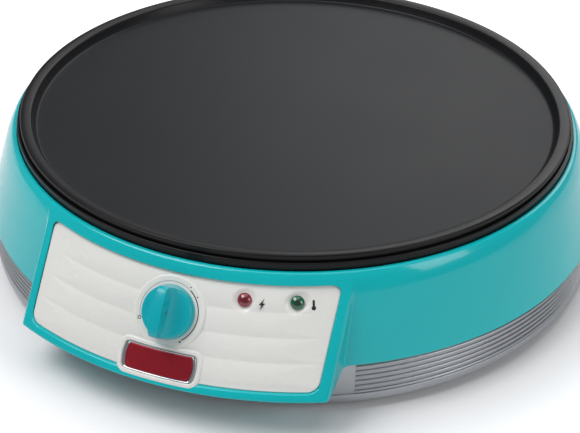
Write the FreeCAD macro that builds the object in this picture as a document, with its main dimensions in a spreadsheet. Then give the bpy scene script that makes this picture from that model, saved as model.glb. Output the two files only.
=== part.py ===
import FreeCAD, Part
import math
import os
import Sketcher

# Electric crepe maker: a round cast plate on a two-part housing with a sloped control console.
# The frame is +Z up, with the origin on the plate's axis at the level that the feet stand on.
# The console faces -Y. All sizes are in millimetres and degrees.

doc = FreeCAD.newDocument("crepe_maker")
sheet = doc.addObject("Spreadsheet::Sheet", "dims")


# Sizes: one class carries a number together with the sheet expression that gives it
class Size:
    def __init__(self, value, text):
        self.value = float(value)
        self.text = text

    def join(self, other, sign, value):
        return Size(value, "(%s %s %s)" % (self.text, sign, other.text))

    def __add__(self, other):
        other = size(other)
        return self.join(other, "+", self.value + other.value)

    def __radd__(self, other):
        return size(other) + self

    def __sub__(self, other):
        other = size(other)
        return self.join(other, "-", self.value - other.value)

    def __rsub__(self, other):
        return size(other) - self

    def __mul__(self, other):
        other = size(other)
        return self.join(other, "*", self.value * other.value)

    def __rmul__(self, other):
        return size(other) * self

    def __truediv__(self, other):
        other = size(other)
        return self.join(other, "/", self.value / other.value)

    def __neg__(self):
        return Size(-self.value, "(0 - %s)" % self.text)


def size(number):
    if isinstance(number, Size):
        return number
    return Size(number, "%.6f" % number)


def root(number):
    return Size(math.sqrt(number.value), "sqrt(%s)" % number.text)


rows = []


def dim(alias, value):
    rows.append(alias)
    cell = "A%d" % len(rows)
    sheet.set(cell, str(value))
    sheet.setAlias(cell, alias)
    return Size(value, "dims.%s" % alias)


# Driving dimensions: heights, each from the level below it
foot_height = dim("foot_height", 7.5)
band_drop = dim("band_drop", 2.0)
band_height = dim("band_height", 23.2)
housing_height = dim("housing_height", 42.8)
surface_lift = dim("surface_lift", 2.8)
rim_height = dim("rim_height", 5.7)

# Driving dimensions: cooking plate
plate_radius = dim("plate_radius", 149.4)
rim_width = dim("rim_width", 6.2)
rim_slope = dim("rim_slope", 2.0)
rim_fall = dim("rim_fall", 0.8)
rim_round = dim("rim_round", 1.2)
plate_thickness = dim("plate_thickness", 6.0)
rim_seat_width = dim("rim_seat_width", 4.4)
rim_seat_rise = dim("rim_seat_rise", 4.0)

# Driving dimensions: black surround between the plate and the housing
surround_gap = dim("surround_gap", 0.4)
surround_wall = dim("surround_wall", 1.4)
surround_rise = dim("surround_rise", 5.3)
surround_flange = dim("surround_flange", 2.0)
surround_edge = dim("surround_edge", 0.5)
fit_gap = dim("fit_gap", 0.3)
contact_gap = dim("contact_gap", 0.2)
tool_reach = dim("tool_reach", 20.0)

# Driving dimensions: upper housing, measured outwards from its opening
wall = dim("wall", 2.5)
shoulder_width = dim("shoulder_width", 5.7)
housing_flare = dim("housing_flare", 11.1)
shoulder_drop = dim("shoulder_drop", 5.5)
lip_width = dim("lip_width", 3.0)
shoulder_round = dim("shoulder_round", 2.6)
ledge_width = dim("ledge_width", 8.5)
ledge_drop = dim("ledge_drop", 6.9)
ledge_thickness = dim("ledge_thickness", 2.4)

# Driving dimensions: control console, measured from the housing's shoulder and foot
console_inset = dim("console_inset", 0.7)
console_reach = dim("console_reach", 29.0)
console_top_drop = dim("console_top_drop", 5.5)
console_foot_drop = dim("console_foot_drop", 4.7)
bezel_proud = dim("bezel_proud", 1.0)
bezel_width = dim("bezel_width", 5.0)
bezel_foot = dim("bezel_foot", 2.6)
bezel_head = dim("bezel_head", 2.0)
bezel_round = dim("bezel_round", 3.5)
panel_half = dim("panel_half", 76.0)
panel_corner = dim("panel_corner", 5.0)
panel_thickness = dim("panel_thickness", 1.8)
panel_gap = dim("panel_gap", 0.3)
panel_edge = dim("panel_edge", 0.5)
panel_sweep = dim("panel_sweep", 120.0)
lap_bulge = dim("lap_bulge", 0.6)
lap_margin = dim("lap_margin", 1.2)
lap_shift = dim("lap_shift", 14.0)
lap_fade = dim("lap_fade", 12.7)
lap_count = 4

# Driving dimensions: silver base band
band_inset = dim("band_inset", 1.1)
band_bevel = dim("band_bevel", 0.8)
band_wall = dim("band_wall", 2.6)
band_lip = dim("band_lip", 6.0)
rib_proud = dim("rib_proud", 0.9)
rib_pitch = dim("rib_pitch", 3.0)
rib_width = dim("rib_width", 1.8)
rib_drop = dim("rib_drop", 1.2)
bead_height = dim("bead_height", 3.6)
rib_root = dim("rib_root", 0.5)
rib_sweep = dim("rib_sweep", 298.0)
rib_count = 6

# Driving dimensions: bottom cover, posts and feet
cover_thickness = dim("cover_thickness", 2.5)
post_radius = dim("post_radius", 4.0)
post_hole = dim("post_hole", 1.5)
foot_inset = dim("foot_inset", 19.5)
foot_pad = dim("foot_pad", 11.0)
foot_taper = dim("foot_taper", 1.5)
foot_stem = dim("foot_stem", 4.0)
foot_barb = dim("foot_barb", 1.2)
vent_length = dim("vent_length", 34.0)
vent_width = dim("vent_width", 3.0)
vent_circle = dim("vent_circle", 70.0)
vent_count = 18

# Driving dimensions: heating element and what clamps it
element_inset = dim("element_inset", 54.4)
tube_radius = dim("tube_radius", 3.3)
element_gap = dim("element_gap", 24.0)
leg_length = dim("leg_length", 9.0)
leg_bend = dim("leg_bend", 8.0)
terminal_radius = dim("terminal_radius", 1.5)
terminal_length = dim("terminal_length", 6.0)
clamp_place = dim("clamp_place", 13.0)
clamp_bite = dim("clamp_bite", 1.5)
clamp_boss = dim("clamp_boss", 4.5)
clamp_width = dim("clamp_width", 12.0)
clamp_length = dim("clamp_length", 26.0)
clamp_thickness = dim("clamp_thickness", 1.5)

# Driving dimensions: tabs that hold the plate down, and the reflector
tab_boss = dim("tab_boss", 5.0)
tab_clear = dim("tab_clear", 1.5)
tab_width = dim("tab_width", 14.0)
tab_grip = dim("tab_grip", 7.5)
tab_thickness = dim("tab_thickness", 1.5)
reflector_inset = dim("reflector_inset", 21.4)
reflector_drop = dim("reflector_drop", 18.3)
reflector_rise = dim("reflector_rise", 7.0)
reflector_sheet = dim("reflector_sheet", 0.8)
reflector_flare = dim("reflector_flare", 4.0)
spacer_inset = dim("spacer_inset", 8.0)
spacer_radius = dim("spacer_radius", 4.0)
screw_radius = dim("screw_radius", 1.6)
screw_head = dim("screw_head", 3.2)
head_height = dim("head_height", 2.0)
thread_grip = dim("thread_grip", 4.0)
three_fold = 3
corner_start = 45
tab_start = 30
clamp_start = 90
spacer_start = 60

# Driving dimensions: knob, shaft and thermostat
knob_drop = dim("knob_drop", 14.6)
knob_radius = dim("knob_radius", 13.2)
knob_lift = dim("knob_lift", 0.9)
knob_disc = dim("knob_disc", 4.0)
knob_taper = dim("knob_taper", 0.7)
grip_width = dim("grip_width", 6.0)
grip_height = dim("grip_height", 12.6)
grip_scoop = dim("grip_scoop", 13.0)
grip_round = dim("grip_round", 1.2)
hub_radius = dim("hub_radius", 5.0)
hub_reach = dim("hub_reach", 4.0)
clip_thickness = dim("clip_thickness", 0.6)
clip_height = dim("clip_height", 1.6)
shaft_radius = dim("shaft_radius", 3.0)
shaft_flat = dim("shaft_flat", 1.4)
shaft_reach = dim("shaft_reach", 12.0)
hub_hole = dim("hub_hole", 6.4)
dial_radius = dim("dial_radius", 17.2)
dial_lip = dim("dial_lip", 1.3)
dial_rise = dim("dial_rise", 1.4)
dial_sink = dim("dial_sink", 1.4)
thermostat_width = dim("thermostat_width", 32.0)
thermostat_height = dim("thermostat_height", 24.0)
thermostat_depth = dim("thermostat_depth", 18.0)
bushing_radius = dim("bushing_radius", 4.6)
bushing_length = dim("bushing_length", 2.4)
bracket_width = dim("bracket_width", 56.0)
bracket_height = dim("bracket_height", 18.0)
bracket_sheet = dim("bracket_sheet", 1.2)
bracket_boss = dim("bracket_boss", 3.6)
bracket_pitch = dim("bracket_pitch", 22.5)
bracket_depth = dim("bracket_depth", 8.0)
blade_width = dim("blade_width", 6.3)
blade_sheet = dim("blade_sheet", 0.8)
blade_length = dim("blade_length", 6.0)
blade_pitch = dim("blade_pitch", 9.0)
blade_offset = dim("blade_offset", 6.0)
blade_count = 3

# Driving dimensions: indicator lamps
lamp_drop = dim("lamp_drop", 5.2)
power_angle = dim("power_angle", 12.3)
ready_angle = dim("ready_angle", 21.2)
lens_radius = dim("lens_radius", 3.4)
lens_dome = dim("lens_dome", 1.6)
lens_flange = dim("lens_flange", 5.0)
lens_flange_thickness = dim("lens_flange_thickness", 1.2)
lens_bore = dim("lens_bore", 2.4)
neon_radius = dim("neon_radius", 2.1)
neon_length = dim("neon_length", 11.0)
neon_tip = dim("neon_tip", 1.5)
lamp_dish = dim("lamp_dish", 6.0)
lamp_dish_depth = dim("lamp_dish_depth", 1.1)
holder_wall = dim("holder_wall", 0.9)
holder_length = dim("holder_length", 7.0)

# Driving dimensions: plain name plate under the knob
badge_lift = dim("badge_lift", 7.2)
badge_half = dim("badge_half", 18.2)
badge_rise = dim("badge_rise", 12.6)
badge_bow = dim("badge_bow", 2.0)
badge_border = dim("badge_border", 1.9)
badge_thickness = dim("badge_thickness", 1.2)
badge_proud = dim("badge_proud", 0.7)
badge_pad = dim("badge_pad", 3.0)
badge_pad_rise = dim("badge_pad_rise", 1.3)

# Driving dimensions: cord inlet, clamp and terminal block
inlet_lift = dim("inlet_lift", 12.5)
inlet_bevel = dim("inlet_bevel", 0.8)
inlet_radius = dim("inlet_radius", 5.8)
inlet_bore = dim("inlet_bore", 3.8)
inlet_flange = dim("inlet_flange", 8.0)
inlet_flange_thickness = dim("inlet_flange_thickness", 1.8)
block_width = dim("block_width", 30.0)
block_depth = dim("block_depth", 18.0)
block_height = dim("block_height", 13.0)
block_inset = dim("block_inset", 55.2)
well_radius = dim("well_radius", 2.6)
well_depth = dim("well_depth", 5.0)
well_pitch = dim("well_pitch", 9.0)
cord_clamp_inset = dim("cord_clamp_inset", 22.2)
cord_clamp_width = dim("cord_clamp_width", 28.0)
cord_clamp_depth = dim("cord_clamp_depth", 9.0)
cord_clamp_sheet = dim("cord_clamp_sheet", 2.0)
cord_clamp_bite = dim("cord_clamp_bite", 0.8)

# Driving dimensions: thermal fuse
fuse_radius = dim("fuse_radius", 2.2)
fuse_length = dim("fuse_length", 14.0)
fuse_place = dim("fuse_place", 40.0)
fuse_lift = dim("fuse_lift", 3.0)
clip_length = dim("clip_length", 6.0)
doc.recompute()

# Worked out heights and radii
band_foot = foot_height - band_drop
housing_foot = band_foot + band_height
housing_top = housing_foot + housing_height
plate_surface = housing_top + surface_lift
plate_under = plate_surface - plate_thickness
rim_top = plate_surface + rim_height
rim_seat = plate_under + rim_seat_rise
surround_inner = plate_radius + surround_gap
surround_outer = surround_inner + surround_wall
opening_radius = surround_outer + fit_gap
shoulder_radius = opening_radius + shoulder_width
foot_radius = shoulder_radius + housing_flare
band_radius = foot_radius - band_inset
ledge_top = housing_top - ledge_drop
ledge_under = ledge_top - ledge_thickness
ledge_inner = opening_radius - ledge_width
cover_top = foot_height + cover_thickness
post_circle = opening_radius - post_radius
foot_circle = post_circle - foot_inset
element_circle = plate_radius - element_inset
clamp_circle = element_circle + clamp_place
clamp_inner = element_circle - tube_radius - clamp_bite
clamp_seat = plate_under - contact_gap * 2 - tube_radius * 2
tab_circle = ledge_inner - tab_clear - tab_boss
tab_inner = tab_circle - tab_boss
tab_length = ledge_inner + tab_grip - tab_inner
reflector_radius = plate_radius - reflector_inset
reflector_floor = plate_under - reflector_drop
spacer_circle = reflector_radius - spacer_inset
inlet_height = band_foot + inlet_lift
block_place = band_radius - block_inset
cord_clamp_place = band_radius - cord_clamp_inset
console_top_radius = shoulder_radius - console_inset
console_foot_radius = console_top_radius + console_reach
console_top = housing_top - console_top_drop
console_foot = housing_foot - console_foot_drop
knob_height = console_top - knob_drop
lamp_height = console_top - lamp_drop
badge_height = console_foot + badge_lift
console_slant = (console_foot_radius - console_top_radius) / (console_top - console_foot)
console_stretch = root(1 + console_slant * console_slant)
console_inside = -(panel_thickness + contact_gap + wall)
console_tilt = math.degrees(math.atan(console_slant.value))
lamp_angles = (("power", power_angle), ("ready", ready_angle))


# Building helpers
def bind(part, prop, number):
    part.setExpression(prop, size(number).text)


def place(part, x=0, y=0, z=0):
    for axis, number in zip("xyz", (x, y, z)):
        bind(part, "Placement.Base." + axis, number)
    return part


def cylinder(name, radius, height, x=0, y=0, z=0):
    part = doc.addObject("Part::Cylinder", name)
    bind(part, "Radius", radius)
    bind(part, "Height", height)
    return place(part, x, y, z)


def tipped(part, angle):
    """Tips a part about X where it stands; its place stays bound to its sizes."""
    part.Placement = FreeCAD.Placement(part.Placement.Base, FreeCAD.Rotation(FreeCAD.Vector(1, 0, 0), angle))
    return part


def cone(name, low_radius, high_radius, height, x=0, y=0, z=0):
    part = doc.addObject("Part::Cone", name)
    bind(part, "Radius1", low_radius)
    bind(part, "Radius2", high_radius)
    bind(part, "Height", height)
    return place(part, x, y, z)


def block(name, length, width, height, x, y, z):
    """A box whose centre stands at x, y and whose underside is at z."""
    part = doc.addObject("Part::Box", name)
    bind(part, "Length", length)
    bind(part, "Width", width)
    bind(part, "Height", height)
    return place(part, size(x) - size(length) / 2, size(y) - size(width) / 2, z)


def cut(name, base, *tools):
    part = doc.addObject("Part::Cut", name)
    part.Base = base
    part.Tool = tools[0] if len(tools) == 1 else fuse(name + "_tools", *tools)
    return part


def fuse(name, *parts):
    part = doc.addObject("Part::MultiFuse", name)
    part.Shapes = list(parts)
    return part


def common(name, *parts):
    part = doc.addObject("Part::MultiCommon", name)
    part.Shapes = list(parts)
    return part


def group(name, parts):
    """Separate equal solids that share one sub-part."""
    part = doc.addObject("Part::Compound", name)
    part.Links = list(parts)
    return part


def outline(sketch, points):
    """A closed outline through the points, each held by its two sizes.

    A point with a third value starts an arc that bulges outwards by that much; others start a line.
    """
    count = len(points)
    arcs = []
    for number in range(count):
        start = points[number]
        end = points[(number + 1) % count]
        first = FreeCAD.Vector(size(start[0]).value, size(start[1]).value, 0)
        last = FreeCAD.Vector(size(end[0]).value, size(end[1]).value, 0)
        if len(start) == 2:
            sketch.addGeometry(Part.LineSegment(first, last), False)
            continue
        across = (last - first).cross(FreeCAD.Vector(0, 0, 1)).normalize()
        crown = (first + last) * 0.5 + across * start[2].value
        sketch.addGeometry(Part.Arc(first, crown, last), False)
        arcs.append((number, arc_radius(start, end)))
    for number in range(count):
        following = (number + 1) % count
        sketch.addConstraint(Sketcher.Constraint("Coincident", number, 2, following, 1))
    for number, point in enumerate(points):
        hold(sketch, "DistanceX", number, point[0])
        hold(sketch, "DistanceY", number, point[1])
    for number, radius in arcs:
        held = sketch.addConstraint(Sketcher.Constraint("Radius", number, radius.value))
        sketch.setExpression("Constraints[%d]" % held, radius.text)


def arc_radius(start, end):
    """The radius of the arc between two points whose crown stands off their chord by the bulge."""
    width = size(end[0]) - size(start[0])
    height = size(end[1]) - size(start[1])
    bulge = start[2]
    return (width * width + height * height) / (bulge * 8) + bulge / 2


def hold(sketch, kind, number, distance):
    distance = size(distance)
    if distance.value == 0:
        axis = -2 if kind == "DistanceX" else -1
        sketch.addConstraint(Sketcher.Constraint("PointOnObject", number, 1, axis))
        return
    held = sketch.addConstraint(Sketcher.Constraint(kind, -1, 1, number, 1, distance.value))
    sketch.setExpression("Constraints[%d]" % held, distance.text)


def sketch_on(body, role, name):
    sketch = body.newObject("Sketcher::SketchObject", name)
    plane = [item for item in body.Origin.OriginFeatures if item.Role == role][0]
    sketch.AttachmentSupport = [(plane, "")]
    sketch.MapMode = "FlatFace"
    return sketch


def turned(name, points, sweep=360, role="XZ_Plane"):
    """A body turned about its Z axis from an outline of radius and height."""
    body = doc.addObject("PartDesign::Body", name)
    sketch = sketch_on(body, role, name + "_profile")
    outline(sketch, points)
    feature = body.newObject("PartDesign::Revolution", name + "_turned")
    feature.Profile = sketch
    feature.ReferenceAxis = (sketch, ["V_Axis"])
    bind(feature, "Angle", sweep)
    feature.Midplane = True
    body.Tip = feature
    return body


def soften(body, name, radius, chosen, kind="PartDesign::Fillet"):
    """Rounds or bevels the edges of a body that the chosen test picks."""
    doc.recompute()
    base = body.Tip
    edges = ["Edge%d" % number for number, edge in enumerate(base.Shape.Edges, 1) if chosen(edge)]
    feature = body.newObject(kind, name)
    feature.Base = (base, edges)
    bind(feature, "Radius" if kind.endswith("Fillet") else "Size", radius)
    body.Tip = feature
    return body


def circle_at(radius, height):
    """Picks the round edge of this radius at this height."""
    def chosen(edge):
        if not isinstance(edge.Curve, Part.Circle):
            return False
        return abs(edge.Curve.Radius - radius.value) < 0.01 and abs(edge.Curve.Center.z - height.value) < 0.01
    return chosen


def around(make, name, count, circle, start):
    """Equal parts spaced evenly round the axis; start is the first one's angle from +X."""
    parts = []
    for number in range(count):
        angle = math.radians(start + 360.0 * number / count)
        parts.append(make("%s_%d" % (name, number + 1), circle * math.cos(angle), circle * math.sin(angle)))
    return parts


def radial(part, angle):
    """Turns a part built along +X about the main axis."""
    part.Placement = FreeCAD.Placement(FreeCAD.Vector(), FreeCAD.Rotation(FreeCAD.Vector(0, 0, 1), angle))
    return part


# Console geometry: every piece on the console is laid out on one cone
def console_radius(height, offset=0):
    fall = console_slant * (console_top - height)
    return console_top_radius + fall + console_stretch * offset


def console_cone(name, low, high, offset):
    """A solid cone from low to high whose side lies offset outside the panel's surface."""
    low_radius = console_radius(low, offset)
    high_radius = console_radius(high, offset)
    return cone(name, low_radius, high_radius, size(high) - size(low), z=low)


def console_block(name, half_width, low, high):
    """The space in front of the axis between the console's two sides."""
    depth = console_foot_radius
    return block(name, half_width * 2, depth, size(high) - size(low), 0, -(depth / 2 + tool_reach), low)


def console_frame(height, angle=0.0, offset=0.0):
    """A frame on the panel's surface: its Z points straight out of the panel, its Y up the slope."""
    turn = FreeCAD.Rotation(FreeCAD.Vector(0, 0, 1), angle)
    lean = FreeCAD.Rotation(FreeCAD.Vector(1, 0, 0), 90.0 - console_tilt)
    spot = FreeCAD.Vector(0, -console_radius(height).value, size(height).value)
    frame = FreeCAD.Placement(turn.multVec(spot), turn.multiply(lean))
    return frame.multiply(FreeCAD.Placement(FreeCAD.Vector(0, 0, size(offset).value), FreeCAD.Rotation()))


def on_console(part, height, angle=0.0):
    part.Placement = console_frame(height, size(angle).value)
    return part


def panel_piece(name, part, height, angle=0.0):
    """Wraps a part drawn about its own Z axis so that it can be carried to the panel."""
    carried = doc.addObject("Part::Compound", name)
    carried.Links = [part]
    return on_console(carried, height, angle)


finished = []


def finish(part, label):
    part.Label = label
    finished.append(part)
    return part


# Cooking plate: cast disc with a raised rim, a seat under the rim and bosses below
def crepe_plate():
    rim_inner = plate_radius - rim_width
    disc = turned("plate_disc", [
        (0, plate_under),
        (plate_radius - rim_seat_width, plate_under),
        (plate_radius - rim_seat_width, rim_seat),
        (plate_radius, rim_seat),
        (plate_radius, rim_top),
        (rim_inner, rim_top - rim_fall),
        (rim_inner - rim_slope, plate_surface),
        (0, plate_surface),
    ])
    soften(disc, "rim_inner_round", rim_round, circle_at(rim_inner, rim_top - rim_fall))
    soften(disc, "rim_outer_round", rim_round / 2, circle_at(plate_radius, rim_top))

    def tab_post(name, x, y):
        return cylinder(name, tab_boss, plate_under - ledge_under + 1, x, y, ledge_under)

    def clamp_post(name, x, y):
        return cylinder(name, clamp_boss, plate_under - clamp_seat + 1, x, y, clamp_seat)

    def spacer_post(name, x, y):
        return cylinder(name, spacer_radius, plate_under - ledge_under + 1, x, y, ledge_under)

    bosses = around(tab_post, "tab_post", three_fold, tab_circle, tab_start)
    bosses += around(clamp_post, "clamp_post", three_fold, clamp_circle, clamp_start)
    bosses += around(spacer_post, "spacer_post", three_fold, spacer_circle, spacer_start)
    cast = fuse("plate_cast", disc, *bosses)

    def pilot(seat):
        def make(name, x, y):
            return cylinder(name, screw_radius + fit_gap / 2, thread_grip + fit_gap, x, y, seat)
        return make

    holes = around(pilot(ledge_under), "tab_pilot", three_fold, tab_circle, tab_start)
    holes += around(pilot(clamp_seat), "clamp_pilot", three_fold, clamp_circle, clamp_start)
    holes += around(pilot(ledge_under), "spacer_pilot", three_fold, spacer_circle, spacer_start)
    return cut("crepe_plate", cast, *holes)


# Surround: black ring that carries the plate's rim and stands on the housing's ledge
def plate_surround():
    flange_inner = plate_radius - rim_seat_width + fit_gap * 2
    ring = turned("surround_ring", [
        (surround_outer, ledge_top),
        (surround_outer, housing_top + surround_rise),
        (surround_inner, housing_top + surround_rise),
        (surround_inner, rim_seat),
        (flange_inner, rim_seat),
        (flange_inner, rim_seat - surround_flange),
        (surround_inner - surround_wall, rim_seat - surround_flange),
        (surround_inner - surround_wall, ledge_top),
    ])
    edge = circle_at(surround_outer, housing_top + surround_rise)
    return soften(ring, "surround_bevel", surround_edge, edge)


# Upper housing: round shell and sloped console in one moulding
def upper_housing():
    lip_radius = opening_radius + lip_width
    round_body = turned("housing_round", [
        (0, housing_foot),
        (foot_radius, housing_foot),
        (shoulder_radius, housing_top - shoulder_drop),
        (lip_radius, housing_top),
        (0, housing_top),
    ])
    soften(round_body, "lip_round", shoulder_round, circle_at(lip_radius, housing_top))
    low = console_foot - bezel_foot
    high = console_top + bezel_head
    console_side = panel_half + bezel_width
    console_outer = common(
        "console_outer",
        console_cone("console_cone_outer", low, high, bezel_proud),
        console_block("console_span", console_side, low, high),
    )
    below_band = cylinder("band_clearance", band_radius + rib_proud + fit_gap, housing_foot, z=0)
    console_body = cut("console_body", console_outer, below_band)
    outer = fuse("housing_outer", round_body, rounded_console(console_body, low))

    shell_slope = (foot_radius - shoulder_radius) / (housing_top - shoulder_drop - housing_foot)
    inner_foot = foot_radius - wall
    inner_top = inner_foot - shell_slope * (ledge_under - housing_foot)
    inner_round = cone("housing_inner", inner_foot + shell_slope, inner_top,
                       ledge_under - housing_foot + 1, z=housing_foot - 1)
    inner_console = common(
        "console_inner",
        console_cone("console_cone_inner", console_foot, ledge_under, console_inside),
        console_block("console_inner_span", console_side - wall, console_foot, ledge_under),
    )
    throat = cylinder("housing_throat", ledge_inner, housing_top, z=housing_foot)
    mouth = cylinder("housing_mouth", opening_radius, housing_top, z=ledge_top)
    pocket = console_pocket("panel_pocket", panel_half + panel_gap, panel_gap,
                            -(panel_thickness + contact_gap))
    shell = cut("housing_shell", outer, inner_round, inner_console, throat, mouth, pocket)

    def post(name, x, y):
        return cylinder(name, post_radius, ledge_under - cover_top + 1, x, y, cover_top)

    def post_bore(name, x, y):
        return cylinder(name, post_hole, thread_grip * 3, x, y, cover_top)

    posts = around(post, "post", 4, post_circle, corner_start)
    bores = around(post_bore, "post_bore", 4, post_circle, corner_start)
    boss_back = -bracket_depth
    for side in (-1, 1):
        boss = cylinder("bracket_boss_%s" % ("left" if side < 0 else "right"), bracket_boss,
                        bracket_depth + console_inside, bracket_pitch * side, 0, boss_back)
        posts.append(panel_piece(boss.Name + "_carried", boss, knob_height))
        bore = cylinder(boss.Name + "_bore", screw_radius, thread_grip, bracket_pitch * side, 0, boss_back)
        bores.append(panel_piece(bore.Name + "_carried", bore, knob_height))
    full = fuse("housing_full", shell, *posts)
    bores.append(panel_piece("hub_opening", through_tool("hub_opening_tool", hub_hole), knob_height))
    for name, angle in lamp_angles:
        tool = through_tool(name + "_opening_tool", lens_radius + fit_gap)
        bores.append(panel_piece(name + "_opening", tool, lamp_height, angle))
    return cut("upper_housing", full, *bores)


def through_tool(name, radius):
    """A cylinder that passes right through the panel and the wall behind it."""
    return cylinder(name, radius, tool_reach, z=-(tool_reach / 2))


def rounded_console(body, low):
    """Rounds the two side edges and the foot edge of the console's face."""
    doc.recompute()
    side = (panel_half + bezel_width).value
    edges = []
    for number, edge in enumerate(body.Shape.Edges, 1):
        box = edge.BoundBox
        at_side = abs(abs(box.Center.x) - side) < 0.01 and box.XLength < 0.01
        on_face = box.ZLength > bezel_round.value and box.Center.y < -shoulder_radius.value + wall.value
        at_foot = box.ZLength < 0.01 and abs(box.ZMin - low.value) < 0.01
        outer_arc = at_foot and box.XLength > side and box.YMin < -console_foot_radius.value
        if (at_side and on_face) or outer_arc:
            edges.append((number, bezel_round.value, bezel_round.value))
    rounded = doc.addObject("Part::Fillet", "console_rounded")
    rounded.Base = body
    rounded.Edges = edges
    return rounded


def console_pocket(name, half_width, gap, depth_offset):
    """The pocket for the panel: a layer of the console's cone with rounded corners."""
    low = console_foot - gap
    high = console_top + gap
    layer = cut(
        name + "_layer",
        console_cone(name + "_outer", low, high, tool_reach),
        console_cone(name + "_core", low - 1, high + 1, depth_offset),
    )
    patch = common(name + "_patch", layer, console_block(name + "_span", half_width, low, high))
    return corners(name, patch, half_width, low, high)


def corners(name, patch, half_width, low, high):
    """Rounds the four corners of a patch of the cone."""
    doc.recompute()
    edges = []
    for number, edge in enumerate(patch.Shape.Edges, 1):
        box = edge.BoundBox
        at_side = abs(abs(box.Center.x) - half_width.value) < 0.01 and box.XLength < 0.01
        at_end = min(abs(box.Center.z - low.value), abs(box.Center.z - high.value)) < 0.01
        if at_side and at_end and box.ZLength < 0.01:
            edges.append((number, panel_corner.value, panel_corner.value))
    rounded = doc.addObject("Part::Fillet", name)
    rounded.Base = patch
    rounded.Edges = edges
    return rounded


# Control panel: a curved sheet with laps that swell along it, a dial ring and a raised badge seat
def control_panel():
    sheet_part = panel_sheet()
    pad_height = dial_sink + dial_rise
    dial = panel_piece("dial_pad_carried", cylinder("dial_pad", dial_radius + dial_lip, pad_height, z=-dial_sink),
                       knob_height)
    dial_trimmed = common("dial_pad_trimmed", dial,
                          console_pocket("dial_mask", panel_half, size(0), -panel_thickness))
    pad_prism = bowed_prism("badge_pad_prism", badge_half + badge_pad, badge_rise + badge_pad)
    pad = badge_layer("badge_pad", pad_prism, -panel_thickness, badge_pad_rise)
    body = fuse("panel_body", sheet_part, panel_laps(), dial_trimmed, pad)

    tools = [panel_piece("dial_floor", cylinder("dial_floor_tool", dial_radius, tool_reach, z=contact_gap),
                         knob_height)]
    tools.append(panel_piece("hub_hole", through_tool("hub_hole_tool", hub_hole), knob_height))
    for name, angle in lamp_angles:
        lens_hole = through_tool(name + "_hole_tool", lens_radius + fit_gap / 2)
        tools.append(panel_piece(name + "_hole", lens_hole, lamp_height, angle))
        dish_rise = lamp_dish_depth * 3
        dish_spread = (lamp_dish - lens_radius) * 3
        dish = cone(name + "_dish_tool", lens_radius, lens_radius + dish_spread, dish_rise, z=-lamp_dish_depth)
        tools.append(panel_piece(name + "_dish", dish, lamp_height, angle))
    seat_prism = bowed_prism("badge_seat_prism", badge_half + contact_gap, badge_rise + contact_gap * 2)
    tools.append(badge_layer("badge_seat", seat_prism, contact_gap, tool_reach))
    return cut("control_panel", body, *tools)


def panel_sheet():
    """The panel's plain sheet, with its outer edge rounded all the way round."""
    solid = cut("panel_layer",
                console_cone("panel_layer_outer", console_foot, console_top, 0),
                console_cone("panel_layer_core", console_foot - 1, console_top + 1, -panel_thickness))
    mask = console_pocket("panel_mask", panel_half, size(0), -(panel_thickness + 1))
    sheet_part = common("panel_sheet", solid, mask)
    doc.recompute()
    edges = []
    for number, edge in enumerate(sheet_part.Shape.Edges, 1):
        if all(on_surface(vertex.Point) for vertex in edge.Vertexes):
            edges.append((number, panel_edge.value, panel_edge.value))
    eased = doc.addObject("Part::Fillet", "panel_eased")
    eased.Base = sheet_part
    eased.Edges = edges
    return eased


def on_surface(point):
    """True for a point on the panel's outer surface."""
    radius = console_radius(Size(point.z, "0")).value
    return abs(math.hypot(point.x, point.y) - radius) < 0.01


def panel_laps():
    """Bulging laps turned about the main axis, which a shifted cone thins out towards both ends."""
    low = console_foot + lap_margin
    high = console_top - lap_margin
    pitch = (high - low) / lap_count
    points = [(console_radius(high, -panel_edge), high), (console_radius(low, -panel_edge), low)]
    for number in range(lap_count):
        edge = low + pitch * number
        points.append((console_radius(edge), edge, lap_bulge))
    points.append((console_radius(high), high))
    laps = turned("panel_lap_ring", points, panel_sweep, "YZ_Plane")
    laps.Placement = FreeCAD.Placement(FreeCAD.Vector(), FreeCAD.Rotation(FreeCAD.Vector(0, 0, 1), 180))
    fade = console_cone("panel_lap_fade", low, high, -(lap_fade / console_stretch))
    place(fade, 0, -lap_shift, low)
    span = console_block("panel_lap_span", panel_half - panel_edge * 2, low, high)
    return common("panel_laps", laps, fade, span)


def bowed_prism(name, half_width, rise):
    """A plate outline with straight top and bottom and bowed ends, set through the panel along its own Z."""
    body = doc.addObject("PartDesign::Body", name)
    sketch = sketch_on(body, "XY_Plane", name + "_outline")
    half = half_width.value - badge_bow.value
    top = rise.value / 2
    reach = half_width.value
    sketch.addGeometry(Part.LineSegment(FreeCAD.Vector(-half, top, 0), FreeCAD.Vector(half, top, 0)), False)
    sketch.addGeometry(Part.Arc(FreeCAD.Vector(half, top, 0), FreeCAD.Vector(reach, 0, 0),
                                FreeCAD.Vector(half, -top, 0)), False)
    sketch.addGeometry(Part.LineSegment(FreeCAD.Vector(half, -top, 0), FreeCAD.Vector(-half, -top, 0)), False)
    sketch.addGeometry(Part.Arc(FreeCAD.Vector(-half, -top, 0), FreeCAD.Vector(-reach, 0, 0),
                                FreeCAD.Vector(-half, top, 0)), False)
    pad = body.newObject("PartDesign::Pad", name + "_pad")
    pad.Profile = sketch
    bind(pad, "Length", tool_reach)
    body.Tip = pad
    start = FreeCAD.Vector(0, 0, -tool_reach.value / 2)
    sketch.AttachmentOffset = FreeCAD.Placement(start, FreeCAD.Rotation())
    return body


# Name plate: a plain inlay in a bevelled frame, both following the panel's curve
def badge_layer(name, prism, inner, outer):
    """The part of an outline's prism that lies between two heights over the panel's surface."""
    shell = cut(name + "_shell",
                console_cone(name + "_outer", console_foot, console_top, outer),
                console_cone(name + "_core", console_foot - 1, console_top + 1, inner))
    return common(name, panel_piece(name + "_carried", prism, badge_height), shell)


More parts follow.
